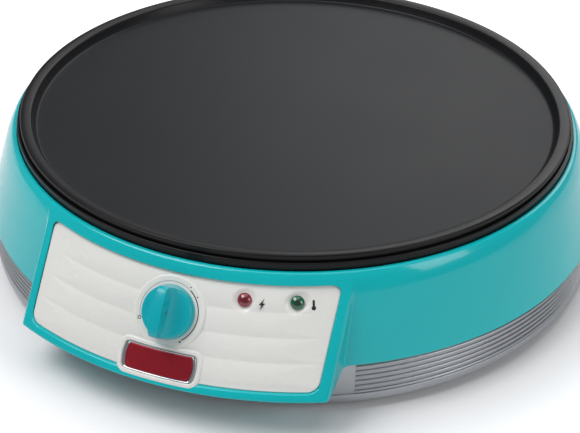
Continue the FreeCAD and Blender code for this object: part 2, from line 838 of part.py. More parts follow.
def badge_frame():
    ring = cut("badge_ring",
               bowed_prism("badge_ring_outer", badge_half, badge_rise),
               bowed_prism("badge_ring_inner", badge_half - badge_border, badge_rise - badge_border))
    return badge_layer("badge_frame", ring, contact_gap * 1.5, badge_thickness + badge_proud)


def badge_inlay():
    prism = bowed_prism("badge_inlay_prism", badge_half - badge_border - contact_gap / 2,
                        badge_rise - badge_border - contact_gap)
    return badge_layer("badge_inlay", prism, contact_gap * 1.5, badge_thickness)


# Base band: silver ring with fine ribs that stop short of the console
def base_band():
    plain = turned("band_plain", [
        (band_radius - band_wall, housing_foot - contact_gap),
        (band_radius, housing_foot - contact_gap),
        (band_radius, band_foot + bead_height),
        (band_radius - band_bevel, band_foot),
        (band_radius - band_lip - band_wall, band_foot),
        (band_radius - band_lip - band_wall, foot_height),
        (band_radius - band_wall, foot_height),
    ])
    ribs = []
    for number in range(rib_count):
        top = housing_foot - rib_drop - rib_pitch * number
        ribs.append(turned("band_rib_%d" % (number + 1), [
            (band_radius - rib_root, top),
            (band_radius, top),
            (band_radius + rib_proud, top - rib_width / 3),
            (band_radius + rib_proud, top - rib_width * 2 / 3),
            (band_radius, top - rib_width),
            (band_radius - rib_root, top - rib_width),
        ], rib_sweep, "YZ_Plane"))
    ring = fuse("band_ring", plain, *ribs)
    hole = cylinder("inlet_hole", inlet_radius + contact_gap, tool_reach, 0, band_radius - tool_reach / 2,
                    inlet_height)
    return cut("base_band", ring, tipped(hole, -90))


# Bottom cover: flat pan with a ring of vents, holes for the feet and the case screws
def bottom_cover():
    pan = turned("cover_pan", [
        (0, foot_height),
        (band_radius - band_wall - fit_gap, foot_height),
        (band_radius - band_wall - fit_gap, cover_top),
        (0, cover_top),
    ])

    def foot_hole(name, x, y):
        return cylinder(name, foot_stem + contact_gap, cover_thickness * 3, x, y, foot_height - cover_thickness)

    def screw_hole(name, x, y):
        return cylinder(name, screw_radius + fit_gap, cover_thickness * 3, x, y, foot_height - cover_thickness)

    tools = around(foot_hole, "foot_hole", 4, foot_circle, corner_start)
    tools += around(screw_hole, "case_screw_hole", 4, post_circle, corner_start)
    for number in range(vent_count):
        slot = block("vent_%d" % (number + 1), vent_length, vent_width, cover_thickness * 3,
                     vent_circle, 0, foot_height - cover_thickness)
        carried = doc.addObject("Part::Compound", "vent_carried_%d" % (number + 1))
        carried.Links = [slot]
        tools.append(radial(carried, 360.0 * number / vent_count))
    return cut("bottom_cover", pan, *tools)


# Rubber feet: tapered pads with a stem and a barb that holds above the cover
def rubber_feet():
    def foot(name, x, y):
        pad = cone(name + "_pad", foot_pad - foot_taper, foot_pad, foot_height, x, y, 0)
        stem = cylinder(name + "_stem", foot_stem, cover_thickness + fit_gap, x, y, foot_height)
        barb = cone(name + "_barb", foot_stem + foot_barb, foot_stem, foot_barb * 2, x, y,
                    cover_top + fit_gap)
        return fuse(name, pad, stem, barb)
    return group("rubber_feet", around(foot, "foot", 4, foot_circle, corner_start))


# Screws: pan head below, shank up into its boss
def screws(name, count, circle, start, seat, length, under=1):
    def screw(part_name, x, y):
        head = cylinder(part_name + "_head", screw_head, head_height, x, y, seat - head_height)
        shank = cylinder(part_name + "_shank", screw_radius - fit_gap / 2, length, x, y, seat)
        return fuse(part_name, head, shank)
    return group(name, around(screw, name + "_item", count, circle, start))


# Heating element: one bent tube under the plate with two legs and their terminal pins
def heating_element():
    tube = tube_radius.value
    ring = element_circle.value
    bend = leg_bend.value
    height = plate_under.value - contact_gap.value - tube
    half_gap = math.asin(element_gap.value / 2 / ring)
    bottom = height - bend - leg_length.value
    path = []
    ends = []
    for side in (-1, 1):
        angle = -math.pi / 2 + side * half_gap
        spot = FreeCAD.Vector(ring * math.cos(angle), ring * math.sin(angle), height)
        along = FreeCAD.Vector(side * -math.sin(angle), side * math.cos(angle), 0) * -1
        corner = spot + along * bend
        middle = spot + along * (bend * math.sin(math.pi / 4))
        middle += FreeCAD.Vector(0, 0, -bend * (1 - math.cos(math.pi / 4)))
        turn_end = corner + FreeCAD.Vector(0, 0, -bend)
        foot = FreeCAD.Vector(turn_end.x, turn_end.y, bottom)
        ends.append((spot, middle, turn_end, foot))
    left, right = ends
    path.append(Part.LineSegment(left[3], left[2]).toShape())
    path.append(Part.Arc(left[2], left[1], left[0]).toShape())
    path.append(Part.Arc(left[0], FreeCAD.Vector(0, ring, height), right[0]).toShape())
    path.append(Part.Arc(right[0], right[1], right[2]).toShape())
    path.append(Part.LineSegment(right[2], right[3]).toShape())
    spine = Part.Wire(path)
    section = Part.Wire(Part.Circle(left[3], FreeCAD.Vector(0, 0, 1), tube).toShape())
    tube_shape = spine.makePipeShell([section], True, False)
    pins = []
    for end in ends:
        down = FreeCAD.Vector(0, 0, -1)
        pins.append(Part.makeCylinder(terminal_radius.value, terminal_length.value + 1,
                                      end[3] + FreeCAD.Vector(0, 0, 1), down))
    part = doc.addObject("Part::Feature", "heating_element")
    part.Shape = tube_shape.fuse(pins)
    return part


def strips(name, length, width, thickness, circle, inner, seat, start):
    """Flat strips set radially under the plate, each with its screw hole on the circle."""
    parts = []
    for number in range(three_fold):
        strip = block("%s_strip_%d" % (name, number + 1), length, width, thickness,
                      inner + length / 2, 0, seat - thickness)
        hole = cylinder("%s_hole_%d" % (name, number + 1), screw_radius + fit_gap, thickness * 4,
                        circle, 0, seat - thickness * 2)
        drilled = cut("%s_drilled_%d" % (name, number + 1), strip, hole)
        parts.append(radial(drilled, start + 360.0 * number / three_fold))
    return group(name, parts)


# Reflector: shallow dish of bright sheet under the element
def heat_reflector():
    dish = turned("reflector_dish", [
        (0, reflector_floor),
        (reflector_radius, reflector_floor),
        (reflector_radius + reflector_flare, reflector_floor + reflector_rise),
        (reflector_radius + reflector_flare - reflector_sheet, reflector_floor + reflector_rise),
        (reflector_radius - reflector_sheet, reflector_floor + reflector_sheet),
        (0, reflector_floor + reflector_sheet),
    ])

    def screw_hole(name, x, y):
        return cylinder(name, screw_radius + fit_gap, reflector_sheet * 4, x, y, reflector_floor - reflector_sheet)

    tools = around(screw_hole, "reflector_hole", three_fold, spacer_circle, spacer_start)
    slot_width = element_gap + leg_bend * 2
    slot_depth = tube_radius * 4
    tools.append(block("leg_slot", slot_width, slot_depth, reflector_sheet * 4, 0,
                       -element_circle, reflector_floor - reflector_sheet))
    return cut("heat_reflector", dish, *tools)


def reflector_spacers():
    def sleeve(name, x, y):
        low = reflector_floor + reflector_sheet
        tall = ledge_under - low
        return cut(name, cylinder(name + "_outer", spacer_radius, tall, x, y, low),
                   cylinder(name + "_bore", screw_radius + fit_gap, tall + 2, x, y, low - 1))
    return group("reflector_spacers", around(sleeve, "spacer", three_fold, spacer_circle, spacer_start))


# Knob: round skirt, a grip left standing between two scoops, and a hub that passes through the panel
def thermostat_knob():
    low = knob_lift + contact_gap
    skirt_top = low + knob_disc
    skirt = cone("knob_skirt", knob_radius, knob_radius - knob_taper, knob_disc, z=low)
    drum = cone("knob_drum", knob_radius - knob_taper, knob_radius - knob_taper * 3, grip_height, z=skirt_top)
    scoops = []
    for side in (-1, 1):
        scoop = cylinder("knob_scoop_%d" % (side + 2), grip_scoop, knob_radius * 3,
                         (grip_width / 2 + grip_scoop) * side, knob_radius * 1.5, skirt_top + grip_scoop)
        scoops.append(tipped(scoop, 90))
        scoops.append(block("knob_side_%d" % (side + 2), knob_radius * 2, knob_radius * 3, grip_height * 2,
                            (grip_width / 2 + grip_scoop + knob_radius) * side, 0, skirt_top))
    grip = cut("knob_grip", fuse("knob_blank", skirt, drum), *scoops)
    grip_soft = knob_rounding(grip, (skirt_top + grip_height).value)
    hub = cylinder("knob_hub", hub_radius, hub_reach + low, z=-hub_reach)
    solid = fuse("knob_solid", grip_soft, hub)
    bore = cylinder("knob_bore", shaft_radius + contact_gap, shaft_reach + hub_reach + 1, z=-hub_reach - 1)
    flat = block("knob_bore_flat", shaft_radius * 4, shaft_radius * 2, shaft_reach + hub_reach + 4, 0,
                 shaft_radius + shaft_radius - shaft_flat + contact_gap, -hub_reach - 2)
    knob = cut("knob_whole", solid, cut("knob_bore_shape", bore, flat))
    return panel_piece("thermostat_knob", knob, knob_height)


def knob_rounding(grip, top):
    """Rounds the edges of the grip's top face."""
    doc.recompute()
    edges = []
    for number, edge in enumerate(grip.Shape.Edges, 1):
        if abs(edge.BoundBox.ZMax - top) < 0.01 and edge.BoundBox.ZLength < 0.01:
            edges.append((number, grip_round.value, grip_round.value))
    rounded = doc.addObject("Part::Fillet", "knob_grip_soft")
    rounded.Base = grip
    rounded.Edges = edges
    return rounded


def knob_spring_clip():
    low = -(hub_reach - fit_gap)
    outer = cylinder("clip_outer", hub_radius + clip_thickness, clip_height, z=low)
    inner = cylinder("clip_inner", hub_radius, clip_height * 3, z=low - clip_height)
    gap = block("clip_gap", hub_radius, hub_radius * 2, clip_height * 3, hub_radius, 0, low - clip_height)
    return panel_piece("knob_spring_clip", cut("clip_ring", outer, inner, gap), knob_height)


def thermostat_shaft():
    back = bracket_depth + bracket_sheet
    rod = cylinder("shaft_rod", shaft_radius, shaft_reach + back, z=-back)
    flat = block("shaft_flat_tool", shaft_radius * 4, shaft_radius * 2, shaft_reach + hub_reach + 1, 0,
                 shaft_radius + shaft_radius - shaft_flat, -hub_reach)
    return panel_piece("thermostat_shaft", cut("shaft_cut", rod, flat), knob_height)


# Thermostat: switch body behind its bracket, with the bushing that the shaft turns in
def thermostat_body():
    front = -(bracket_depth + bracket_sheet)
    case = block("thermostat_case", thermostat_width, thermostat_height, thermostat_depth, 0, 0,
                 front - thermostat_depth)
    bushing = cylinder("thermostat_bushing", bushing_radius, bushing_length + bracket_sheet, z=front)
    whole = fuse("thermostat_solid", case, bushing)
    bore = cylinder("thermostat_bore", shaft_radius + fit_gap, bushing_length + bracket_sheet + 4, z=front - 2)
    tabs = []
    for number in range(blade_count):
        across = blade_pitch * (number - (blade_count - 1) / 2)
        tabs.append(block("thermostat_tab_%d" % (number + 1), blade_width, blade_sheet, blade_length + 1,
                          across, -blade_offset, front - thermostat_depth - blade_length))
    body = fuse("thermostat_with_tabs", cut("thermostat_bored", whole, bore), *tabs)
    return panel_piece("thermostat_body", body, knob_height)


def thermostat_bracket():
    front = -bracket_depth
    plate = block("bracket_plate", bracket_width, bracket_height, bracket_sheet, 0, 0, front - bracket_sheet)
    tools = [cylinder("bracket_window", bushing_radius + contact_gap, bracket_sheet * 4, z=front - bracket_sheet * 2)]
    for side in (-1, 1):
        tools.append(cylinder("bracket_hole_%d" % (side + 2), screw_radius + contact_gap, bracket_sheet * 4,
                              bracket_pitch * side, 0, front - bracket_sheet * 2))
    return panel_piece("thermostat_bracket", cut("bracket_drilled", plate, *tools), knob_height)


def bracket_screws():
    front = -(bracket_depth + bracket_sheet)
    items = []
    for side in (-1, 1):
        name = "bracket_screw_%s" % ("left" if side < 0 else "right")
        head = cylinder(name + "_head", screw_head, head_height, bracket_pitch * side, 0, front - head_height)
        shank = cylinder(name + "_shank", screw_radius - fit_gap / 2, thread_grip, bracket_pitch * side, 0, front)
        items.append(fuse(name, head, shank))
    return panel_piece("bracket_screws", group("bracket_screw_pair", items), knob_height)


# Lamps: domed lens from behind the panel, neon in its bore and a holder over its tail
def lamp_lens(name, angle):
    rear = panel_thickness + contact_gap + wall + fit_gap
    shoulder = rear + lens_flange_thickness
    lens = turned(name + "_lens_turned", [
        (0, shoulder),
        (lens_radius, shoulder),
        (lens_radius, lens_flange_thickness),
        (lens_flange, lens_flange_thickness),
        (lens_flange, 0),
        (lens_bore, 0),
        (lens_bore, rear),
        (0, rear),
    ])
    ball_radius = (lens_radius * lens_radius + lens_dome * lens_dome) / (lens_dome * 2)
    ball = doc.addObject("Part::Sphere", name + "_ball")
    bind(ball, "Radius", ball_radius)
    place(ball, 0, 0, shoulder + lens_dome - ball_radius)
    above = cylinder(name + "_above", lens_radius, lens_dome * 2, z=shoulder)
    cap = common(name + "_cap", ball, above)
    lens_solid = fuse(name + "_lens_solid", lens, cap)
    carried = doc.addObject("Part::Compound", name + "_lamp_lens")
    carried.Links = [lens_solid]
    carried.Placement = console_frame(lamp_height, angle.value, -shoulder)
    return carried


def lamp_stack(name, make):
    """One part behind each lamp, both in one sub-part."""
    parts = []
    for label, angle in lamp_angles:
        part = doc.addObject("Part::Compound", "%s_%s" % (name, label))
        part.Links = [make("%s_%s" % (name, label))]
        part.Placement = console_frame(lamp_height, angle.value, 0)
        parts.append(part)
    return group(name, parts)


def neon(name):
    back = panel_thickness + contact_gap + wall + fit_gap + lens_flange_thickness
    start = -(back + neon_length - lens_flange_thickness * 2)
    glass = cylinder(name + "_glass", neon_radius, neon_length, z=start)
    tip = cone(name + "_tip", neon_radius, neon_radius / 3, neon_tip, z=start + neon_length)
    return fuse(name + "_lamp", glass, tip)


def lamp_holder(name):
    back = panel_thickness + contact_gap + wall + fit_gap + lens_flange_thickness
    outer = cylinder(name + "_cup", lens_flange + holder_wall, holder_length, z=-(back + holder_length))
    inner = cylinder(name + "_bore", neon_radius + fit_gap, holder_length + 2, z=-(back + holder_length + 1))
    return cut(name + "_sleeve", outer, inner)


# Cord inlet: a bush in the back of the band, a clamp bar and the terminal block behind it
def cord_inlet_bush():
    outside = inlet_flange_thickness
    through = band_wall + rib_proud + contact_gap * 2
    inside = inlet_flange_thickness
    total = outside + through + inside
    bush = turned("inlet_turned", [
        (inlet_bore, 0),
        (inlet_flange, 0),
        (inlet_flange, inside),
        (inlet_radius, inside),
        (inlet_radius, inside + through),
        (inlet_flange, inside + through),
        (inlet_flange - inlet_bevel, total),
        (inlet_bore, total),
    ])
    start = band_radius + rib_proud + contact_gap - through - inside
    carried = doc.addObject("Part::Compound", "cord_inlet_bush")
    carried.Links = [bush]
    carried.Placement = FreeCAD.Placement(
        FreeCAD.Vector(0, start.value, inlet_height.value),
        FreeCAD.Rotation(FreeCAD.Vector(1, 0, 0), -90))
    return carried


def cord_clamp():
    bar_seat = inlet_height - inlet_bore + cord_clamp_bite
    bar = block("cord_clamp_bar", cord_clamp_width, cord_clamp_depth, cord_clamp_sheet, 0,
                cord_clamp_place, bar_seat)
    legs = []
    for side in (-1, 1):
        legs.append(block("cord_clamp_leg_%d" % (side + 2), cord_clamp_sheet * 3, cord_clamp_depth,
                          bar_seat - cover_top, (cord_clamp_width / 2 - cord_clamp_sheet * 1.5) * side,
                          cord_clamp_place, cover_top))
    return fuse("cord_clamp", bar, *legs)


def terminal_block():
    body = block("terminal_case", block_width, block_depth, block_height, 0, block_place, cover_top)
    tools = []
    for number in range(blade_count):
        across = well_pitch * (number - (blade_count - 1) / 2)
        tools.append(cylinder("terminal_well_%d" % (number + 1), well_radius, well_depth + 1, across,
                              block_place, cover_top + block_height - well_depth))
    return cut("terminal_block", body, *tools)


def lying_cylinder(name, radius, length):
    """A cylinder that lies along X at the fuse's place, centred on the Y axis."""
    part = doc.addObject("Part::Cylinder", name)
    bind(part, "Radius", radius)
    bind(part, "Height", length)
    height = reflector_floor + reflector_sheet + fuse_lift
    part.Placement = FreeCAD.Placement(
        FreeCAD.Vector(-size(length).value / 2, fuse_place.value, height.value),
        FreeCAD.Rotation(FreeCAD.Vector(0, 1, 0), 90))
    return part


# Thermal fuse: a barrel held over the reflector by a folded clip
def thermal_fuse():
    return lying_cylinder("fuse_barrel", fuse_radius, fuse_length)


def fuse_clip():
    seat = reflector_floor + reflector_sheet
    strap = block("fuse_strap", clip_length, clip_length + 2, fuse_lift * 2, 0, fuse_place, seat)
    return cut("fuse_clip", strap, lying_cylinder("fuse_clip_bore", fuse_radius + contact_gap, fuse_length))


finish(crepe_plate(), "crepe_plate")
finish(plate_surround(), "plate_surround")
finish(upper_housing(), "upper_housing")
finish(control_panel(), "control_panel")
finish(badge_frame(), "badge_frame")
finish(badge_inlay(), "badge_inlay")
finish(base_band(), "base_band")
finish(bottom_cover(), "bottom_cover")
finish(rubber_feet(), "rubber_feet")
finish(screws("case_screws", 4, post_circle, corner_start, foot_height, thread_grip * 2), "case_screws")
finish(heating_element(), "heating_element")
finish(strips("element_clamps", clamp_length, clamp_width, clamp_thickness, clamp_circle, clamp_inner,
              clamp_seat, clamp_start), "element_clamps")
finish(screws("clamp_screws", three_fold, clamp_circle, clamp_start, clamp_seat - clamp_thickness,
              thread_grip + clamp_thickness), "clamp_screws")
finish(strips("plate_tabs", tab_length, tab_width, tab_thickness, tab_circle, tab_inner, ledge_under,
              tab_start),
       "plate_tabs")
finish(screws("tab_screws", three_fold, tab_circle, tab_start, ledge_under - tab_thickness,
              thread_grip + tab_thickness), "tab_screws")
finish(heat_reflector(), "heat_reflector")
finish(reflector_spacers(), "reflector_spacers")
finish(screws("reflector_screws", three_fold, spacer_circle, spacer_start, reflector_floor,
              thread_grip + ledge_under - reflector_floor), "reflector_screws")
finish(thermostat_knob(), "thermostat_knob")
finish(knob_spring_clip(), "knob_spring_clip")
finish(thermostat_shaft(), "thermostat_shaft")
finish(thermostat_body(), "thermostat_body")
finish(thermostat_bracket(), "thermostat_bracket")
finish(bracket_screws(), "bracket_screws")
finish(lamp_lens("power", power_angle), "power_lamp_lens")
finish(lamp_lens("ready", ready_angle), "ready_lamp_lens")
finish(lamp_stack("indicator_neons", neon), "indicator_neons")
finish(lamp_stack("lamp_holders", lamp_holder), "lamp_holders")
finish(cord_inlet_bush(), "cord_inlet_bush")
finish(cord_clamp(), "cord_clamp")
finish(terminal_block(), "terminal_block")
finish(thermal_fuse(), "thermal_fuse")
finish(fuse_clip(), "fuse_clip")

# Checks every feature, then writes one file for each sub-part
doc.recompute()
for item in doc.Objects:
    if "Invalid" in item.State or "Error" in item.State:
        raise RuntimeError("failed feature: %s %s" % (item.Name, item.State))
for item in finished:
    if item.Shape.isNull() or not item.Shape.isValid():
        raise RuntimeError("bad shape: %s" % item.Label)
os.makedirs("parts", exist_ok=True)
for item in finished:
    item.Shape.exportStep("parts/%s.step" % item.Label)
    print("%-20s solids %d volume %.0f" % (item.Label, len(item.Shape.Solids), item.Shape.Volume))
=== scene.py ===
import bmesh
import bpy
import math
from mathutils import Matrix, Vector

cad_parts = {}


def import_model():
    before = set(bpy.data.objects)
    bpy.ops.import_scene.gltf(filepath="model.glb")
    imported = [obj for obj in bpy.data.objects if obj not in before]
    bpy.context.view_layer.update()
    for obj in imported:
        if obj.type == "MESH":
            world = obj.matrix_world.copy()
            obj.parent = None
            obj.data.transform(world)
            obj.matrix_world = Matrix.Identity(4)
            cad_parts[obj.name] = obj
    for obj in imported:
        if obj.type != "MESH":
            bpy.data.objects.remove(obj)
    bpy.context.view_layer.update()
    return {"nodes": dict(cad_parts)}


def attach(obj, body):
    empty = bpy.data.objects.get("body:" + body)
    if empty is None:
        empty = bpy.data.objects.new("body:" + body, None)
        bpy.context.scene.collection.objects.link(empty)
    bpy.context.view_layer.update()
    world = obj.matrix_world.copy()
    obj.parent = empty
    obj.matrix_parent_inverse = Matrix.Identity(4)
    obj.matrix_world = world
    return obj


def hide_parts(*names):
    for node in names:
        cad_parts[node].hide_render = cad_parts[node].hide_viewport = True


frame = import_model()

# Electric crepe maker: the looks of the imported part. Sizes are in millimetres until a mesh is made.
MM = 0.001


# Sizes shared by the pieces
FOOT_HEIGHT = 7.5
FOOT_CIRCLE = 128.0
BAND_FOOT = 5.5
BAND_RADIUS = 167.2
BAND_WALL = 2.6
HOUSING_FOOT = 28.7
HOUSING_TOP = 72.7
FOOT_RADIUS = 168.3
SHOULDER_RADIUS = 157.2
SHOULDER_HEIGHT = 67.2
OPENING_RADIUS = 151.5
LEDGE_TOP = 64.6
SURROUND_OUTER = 151.2
SURROUND_INNER = 149.8
SURROUND_TOP = 76.8
SURROUND_UNDER = 70.3
RIM_SEAT = 72.3
PLATE_RADIUS = 149.4
PLATE_SURFACE = 74.3
PLATE_UNDER = 68.3
RIM_TOP = 80.0
CONSOLE_TOP = 67.6
CONSOLE_TOP_RADIUS = 155.395
CONSOLE_FOOT = 26.3
CONSOLE_FOOT_RADIUS = 183.912
PANEL_HALF = 75.7
PANEL_CORNER = 5.0
PANEL_EDGE = 0.5
PANEL_THICKNESS = 1.8
LAP_BULGE = 0.6
LAP_MARGIN = 1.2
LAP_COUNT = 4
LAP_SHIFT = 14.0
LAP_FADE = 12.7
KNOB_HEIGHT = 51.4
LAMP_HEIGHT = 60.8
LAMP_ANGLES = {"power": 12.3, "ready": 21.2}
BADGE_HEIGHT = 31.2
LENS_RADIUS = 3.4
LENS_RISE = 1.6
DISH_RADIUS = 6.2
DISH_DEPTH = 1.1
SIGN_HEIGHT = 59.7
DIAL_FACE = 0.85
INK_TOP = 0.93
SLANT = (CONSOLE_FOOT_RADIUS - CONSOLE_TOP_RADIUS) / (CONSOLE_TOP - CONSOLE_FOOT)
TILT = math.atan(SLANT)


# Shader maths: one class carries a socket and takes part in ordinary arithmetic
class Channel:
    def __init__(self, paint, socket):
        self.paint = paint
        self.socket = socket

    def join(self, operation, first, second=0.5, third=0.0):
        return self.paint.channel("ShaderNodeMath", {"operation": operation}, [first, second, third])

    def __add__(self, other):
        return self.join("ADD", self, other)

    def __radd__(self, other):
        return self.join("ADD", other, self)

    def __sub__(self, other):
        return self.join("SUBTRACT", self, other)

    def __rsub__(self, other):
        return self.join("SUBTRACT", other, self)

    def __mul__(self, other):
        return self.join("MULTIPLY", self, other)

    def __rmul__(self, other):
        return self.join("MULTIPLY", other, self)

    def __truediv__(self, other):
        return self.join("DIVIDE", self, other)

    def __rtruediv__(self, other):
        return self.join("DIVIDE", other, self)

    def __pow__(self, other):
        return self.join("POWER", self, other)

    def __gt__(self, other):
        return self.join("GREATER_THAN", self, other)

    def __lt__(self, other):
        return self.join("LESS_THAN", self, other)

    def step(self, low, high):
        """Rises smoothly from 0 at low to 1 at high."""
        settings = {"interpolation_type": "SMOOTHSTEP"}
        return self.paint.channel("ShaderNodeMapRange", settings, {"Value": self, "From Min": low, "From Max": high})


class Paint:
    """A material whose nodes are added by their type, settings and inputs."""

    def __init__(self, name):
        self.material = bpy.data.materials.new(name)
        self.material.use_nodes = True
        self.tree = self.material.node_tree
        self.shader = self.tree.nodes["Principled BSDF"]
        self.place = self.node("ShaderNodeTexCoord").outputs["Object"]

    def node(self, kind, settings=None, inputs=None):
        node = self.tree.nodes.new(kind)
        for key, setting in (settings or {}).items():
            setattr(node, key, setting)
        pairs = inputs.items() if isinstance(inputs, dict) else enumerate(inputs or [])
        for key, given in pairs:
            self.feed(node.inputs[key], given)
        return node

    def feed(self, socket, given):
        if isinstance(given, Channel):
            given = given.socket
        if isinstance(given, bpy.types.NodeSocket):
            self.tree.links.new(given, socket)
        elif given is not None:
            if socket.type == "RGBA" and len(given) == 3:
                given = (*given, 1.0)
            socket.default_value = given

    def channel(self, kind, settings=None, inputs=None, output=0):
        return Channel(self, self.node(kind, settings, inputs).outputs[output])

    def noise(self, scale, detail=3.0, roughness=0.5, stretch=None):
        place = self.place
        if stretch:
            place = self.node("ShaderNodeMapping", None, {"Vector": place, "Scale": stretch}).outputs[0]
        inputs = {"Vector": place, "Scale": scale, "Detail": detail, "Roughness": roughness}
        return self.channel("ShaderNodeTexNoise", None, inputs)

    def axis(self, name):
        return self.channel("ShaderNodeSeparateXYZ", None, [self.place], "XYZ".index(name))

    def radius(self):
        x = self.axis("X")
        y = self.axis("Y")
        return (x * x + y * y) ** 0.5

    def mix(self, factor, first, second):
        inputs = {"Factor": factor, 6: first, 7: second}
        return self.node("ShaderNodeMix", {"data_type": "RGBA"}, inputs).outputs[2]

    def bump(self, height, distance, strength=1.0, under=None):
        inputs = {"Height": height, "Distance": distance, "Strength": strength, "Normal": under}
        return self.node("ShaderNodeBump", None, inputs).outputs[0]

    def set(self, **sockets):
        for key, given in sockets.items():
            self.feed(self.shader.inputs[key.replace("_", " ")], given)
        return self.material


def linear(red, green, blue):
    """A colour written as it is seen on a screen, from 0 to 255."""
    def bend(number):
        share = number / 255.0
        return share / 12.92 if share <= 0.04045 else ((share + 0.055) / 1.055) ** 2.4
    return (bend(red), bend(green), bend(blue))


def moulded(name, colour, deep, roughness, coat, grain=2600.0, depth=0.000012):
    """Gloss moulded plastic: faint tone drift, soft smears in the gloss and a very fine grain."""
    paint = Paint(name)
    drift = paint.noise(9.0, 4.0, 0.55)
    smear = paint.noise(38.0, 5.0, 0.6, (1.0, 1.0, 2.4))
    fleck = paint.noise(grain, 2.0)
    tone = paint.mix((drift - 0.36) * 2.4, deep, colour)
    dust = paint.noise(900.0, 2.0).step(0.66, 0.8)
    tone = paint.mix(dust * 0.02, tone, (0.9, 0.93, 0.93))
    rough = roughness + (smear - 0.5) * roughness * 0.9 + dust * 0.06
    height = fleck * 0.4 + smear * 0.6
    return paint.set(Base_Color=tone, Roughness=rough, Coat_Weight=coat, Coat_Roughness=0.04, Specular_IOR_Level=0.3,
                     Normal=paint.bump(height, depth))


def painted_metal(name, colour, deep, roughness, stretch=(1.0, 1.0, 60.0), metallic=0.85, depth=0.00003):
    """Silver-painted or drawn metal with fine lines along the draw."""
    paint = Paint(name)
    lines = paint.noise(260.0, 4.0, 0.6, stretch)
    drift = paint.noise(14.0, 3.0)
    tone = paint.mix((lines - 0.3) * 1.6, deep, colour)
    tone = paint.mix((drift - 0.4) * 0.5, tone, deep)
    rough = roughness + (lines - 0.5) * 0.22 + (drift - 0.5) * 0.08
    return paint.set(Base_Color=tone, Roughness=rough, Metallic=metallic, Normal=paint.bump(lines, depth, 0.6))


def plate_coating():
    """Dark non-stick coating: tiny pale flecks, a faint turned pattern, a duller worn middle and a glossier rim whose
    colour is darkened as painted shade.
    """
    paint = Paint("plate_coating")
    radius = paint.radius()
    fleck = paint.noise(2400.0, 2.0, 0.7).step(0.60, 0.74)
    second = paint.noise(1500.0, 1.0, 0.5).step(0.64, 0.76)
    rings = paint.channel("ShaderNodeMath", {"operation": "SINE"}, [radius * 5200.0])
    cloud = paint.noise(16.0, 4.0, 0.6)
    tone = paint.mix((cloud - 0.35) * 1.6, linear(20, 21, 23), linear(27, 28, 31))
    tone = paint.mix(fleck * 0.30, tone, linear(74, 76, 80))
    tone = paint.mix(second * 0.45, tone, linear(18, 19, 21))
    # painted shade: the raised rim beyond the cooking surface is painted darker; the same mask also makes the rim
    # glossier
    edge = radius.step(0.1405, 0.1425)
    tone = paint.mix(edge * 0.85, tone, linear(10, 10, 12))
    rough = 0.46 + (cloud - 0.5) * 0.10 + fleck * 0.10 - edge * 0.12
    height = fleck * 0.6 + rings * 0.10 + paint.noise(1100.0, 3.0) * 0.5
    return paint.set(Base_Color=tone, Roughness=rough, Specular_IOR_Level=0.24,
                     Normal=paint.bump(height, 0.00003, 0.7))


def surround_black():
    paint = Paint("surround_black")
    cloud = paint.noise(30.0, 4.0)
    grain = paint.noise(3000.0, 2.0)
    tone = paint.mix((cloud - 0.4) * 1.5, linear(6, 6, 8), linear(11, 11, 13))
    return paint.set(Base_Color=tone, Roughness=0.28 + (cloud - 0.5) * 0.1, Specular_IOR_Level=0.22,
                     Normal=paint.bump(grain, 0.00001))


def brushed_red():
    """Red anodised sheet, brushed along its length."""
    paint = Paint("brushed_red")
    lines = paint.noise(420.0, 5.0, 0.7, (0.5, 14.0, 14.0))
    drift = paint.noise(60.0, 2.0)
    tone = paint.mix((lines - 0.25) * 1.5, linear(122, 0, 20), linear(196, 22, 48))
    tone = paint.mix((drift - 0.45) * 0.6, tone, linear(150, 4, 30))
    rough = 0.34 + (lines - 0.5) * 0.3
    return paint.set(Base_Color=tone, Roughness=rough, Metallic=0.55, Coat_Weight=0.5, Coat_Roughness=0.12,
                     Normal=paint.bump(lines, 0.00002, 0.5))


def lens_plastic_with_painted_glow(name, deep, bright, centre):
    """Tinted clear plastic with a painted glow: deeper in the middle and brighter towards its rim, standing in for
    light through the plastic.
    """
    paint = Paint(name)
    away = paint.node("ShaderNodeVectorMath", {"operation": "DISTANCE"}, [paint.place, tuple(centre)]).outputs[1]
    # painted glow: the tint brightens with distance from the lens's top towards its rim
    spread = Channel(paint, away).step(0.0008, 0.0034)
    facets = paint.noise(700.0, 2.0)
    tone = paint.mix(spread * 0.7 + (facets - 0.5) * 0.3, deep, bright)
    rough = 0.07 + (facets - 0.5) * 0.05
    return paint.set(Base_Color=tone, Roughness=rough, Coat_Weight=1.0, Coat_Roughness=0.03, IOR=1.5,
                     Normal=paint.bump(facets, 0.00001))


def rubber(name):
    paint = Paint(name)
    grain = paint.noise(1300.0, 4.0, 0.7)
    worn = paint.noise(90.0, 4.0, 0.6)
    tone = paint.mix((worn - 0.35) * 1.4, linear(14, 14, 15), linear(34, 34, 36))
    return paint.set(Base_Color=tone, Roughness=0.72 + (grain - 0.5) * 0.3, Normal=paint.bump(grain, 0.00006))


def printed_ink():
    paint = Paint("printed_ink")
    grain = paint.noise(2400.0, 3.0)
    tone = paint.mix(grain, linear(16, 16, 18), linear(30, 30, 33))
    return paint.set(Base_Color=tone, Roughness=0.42 + grain * 0.16)


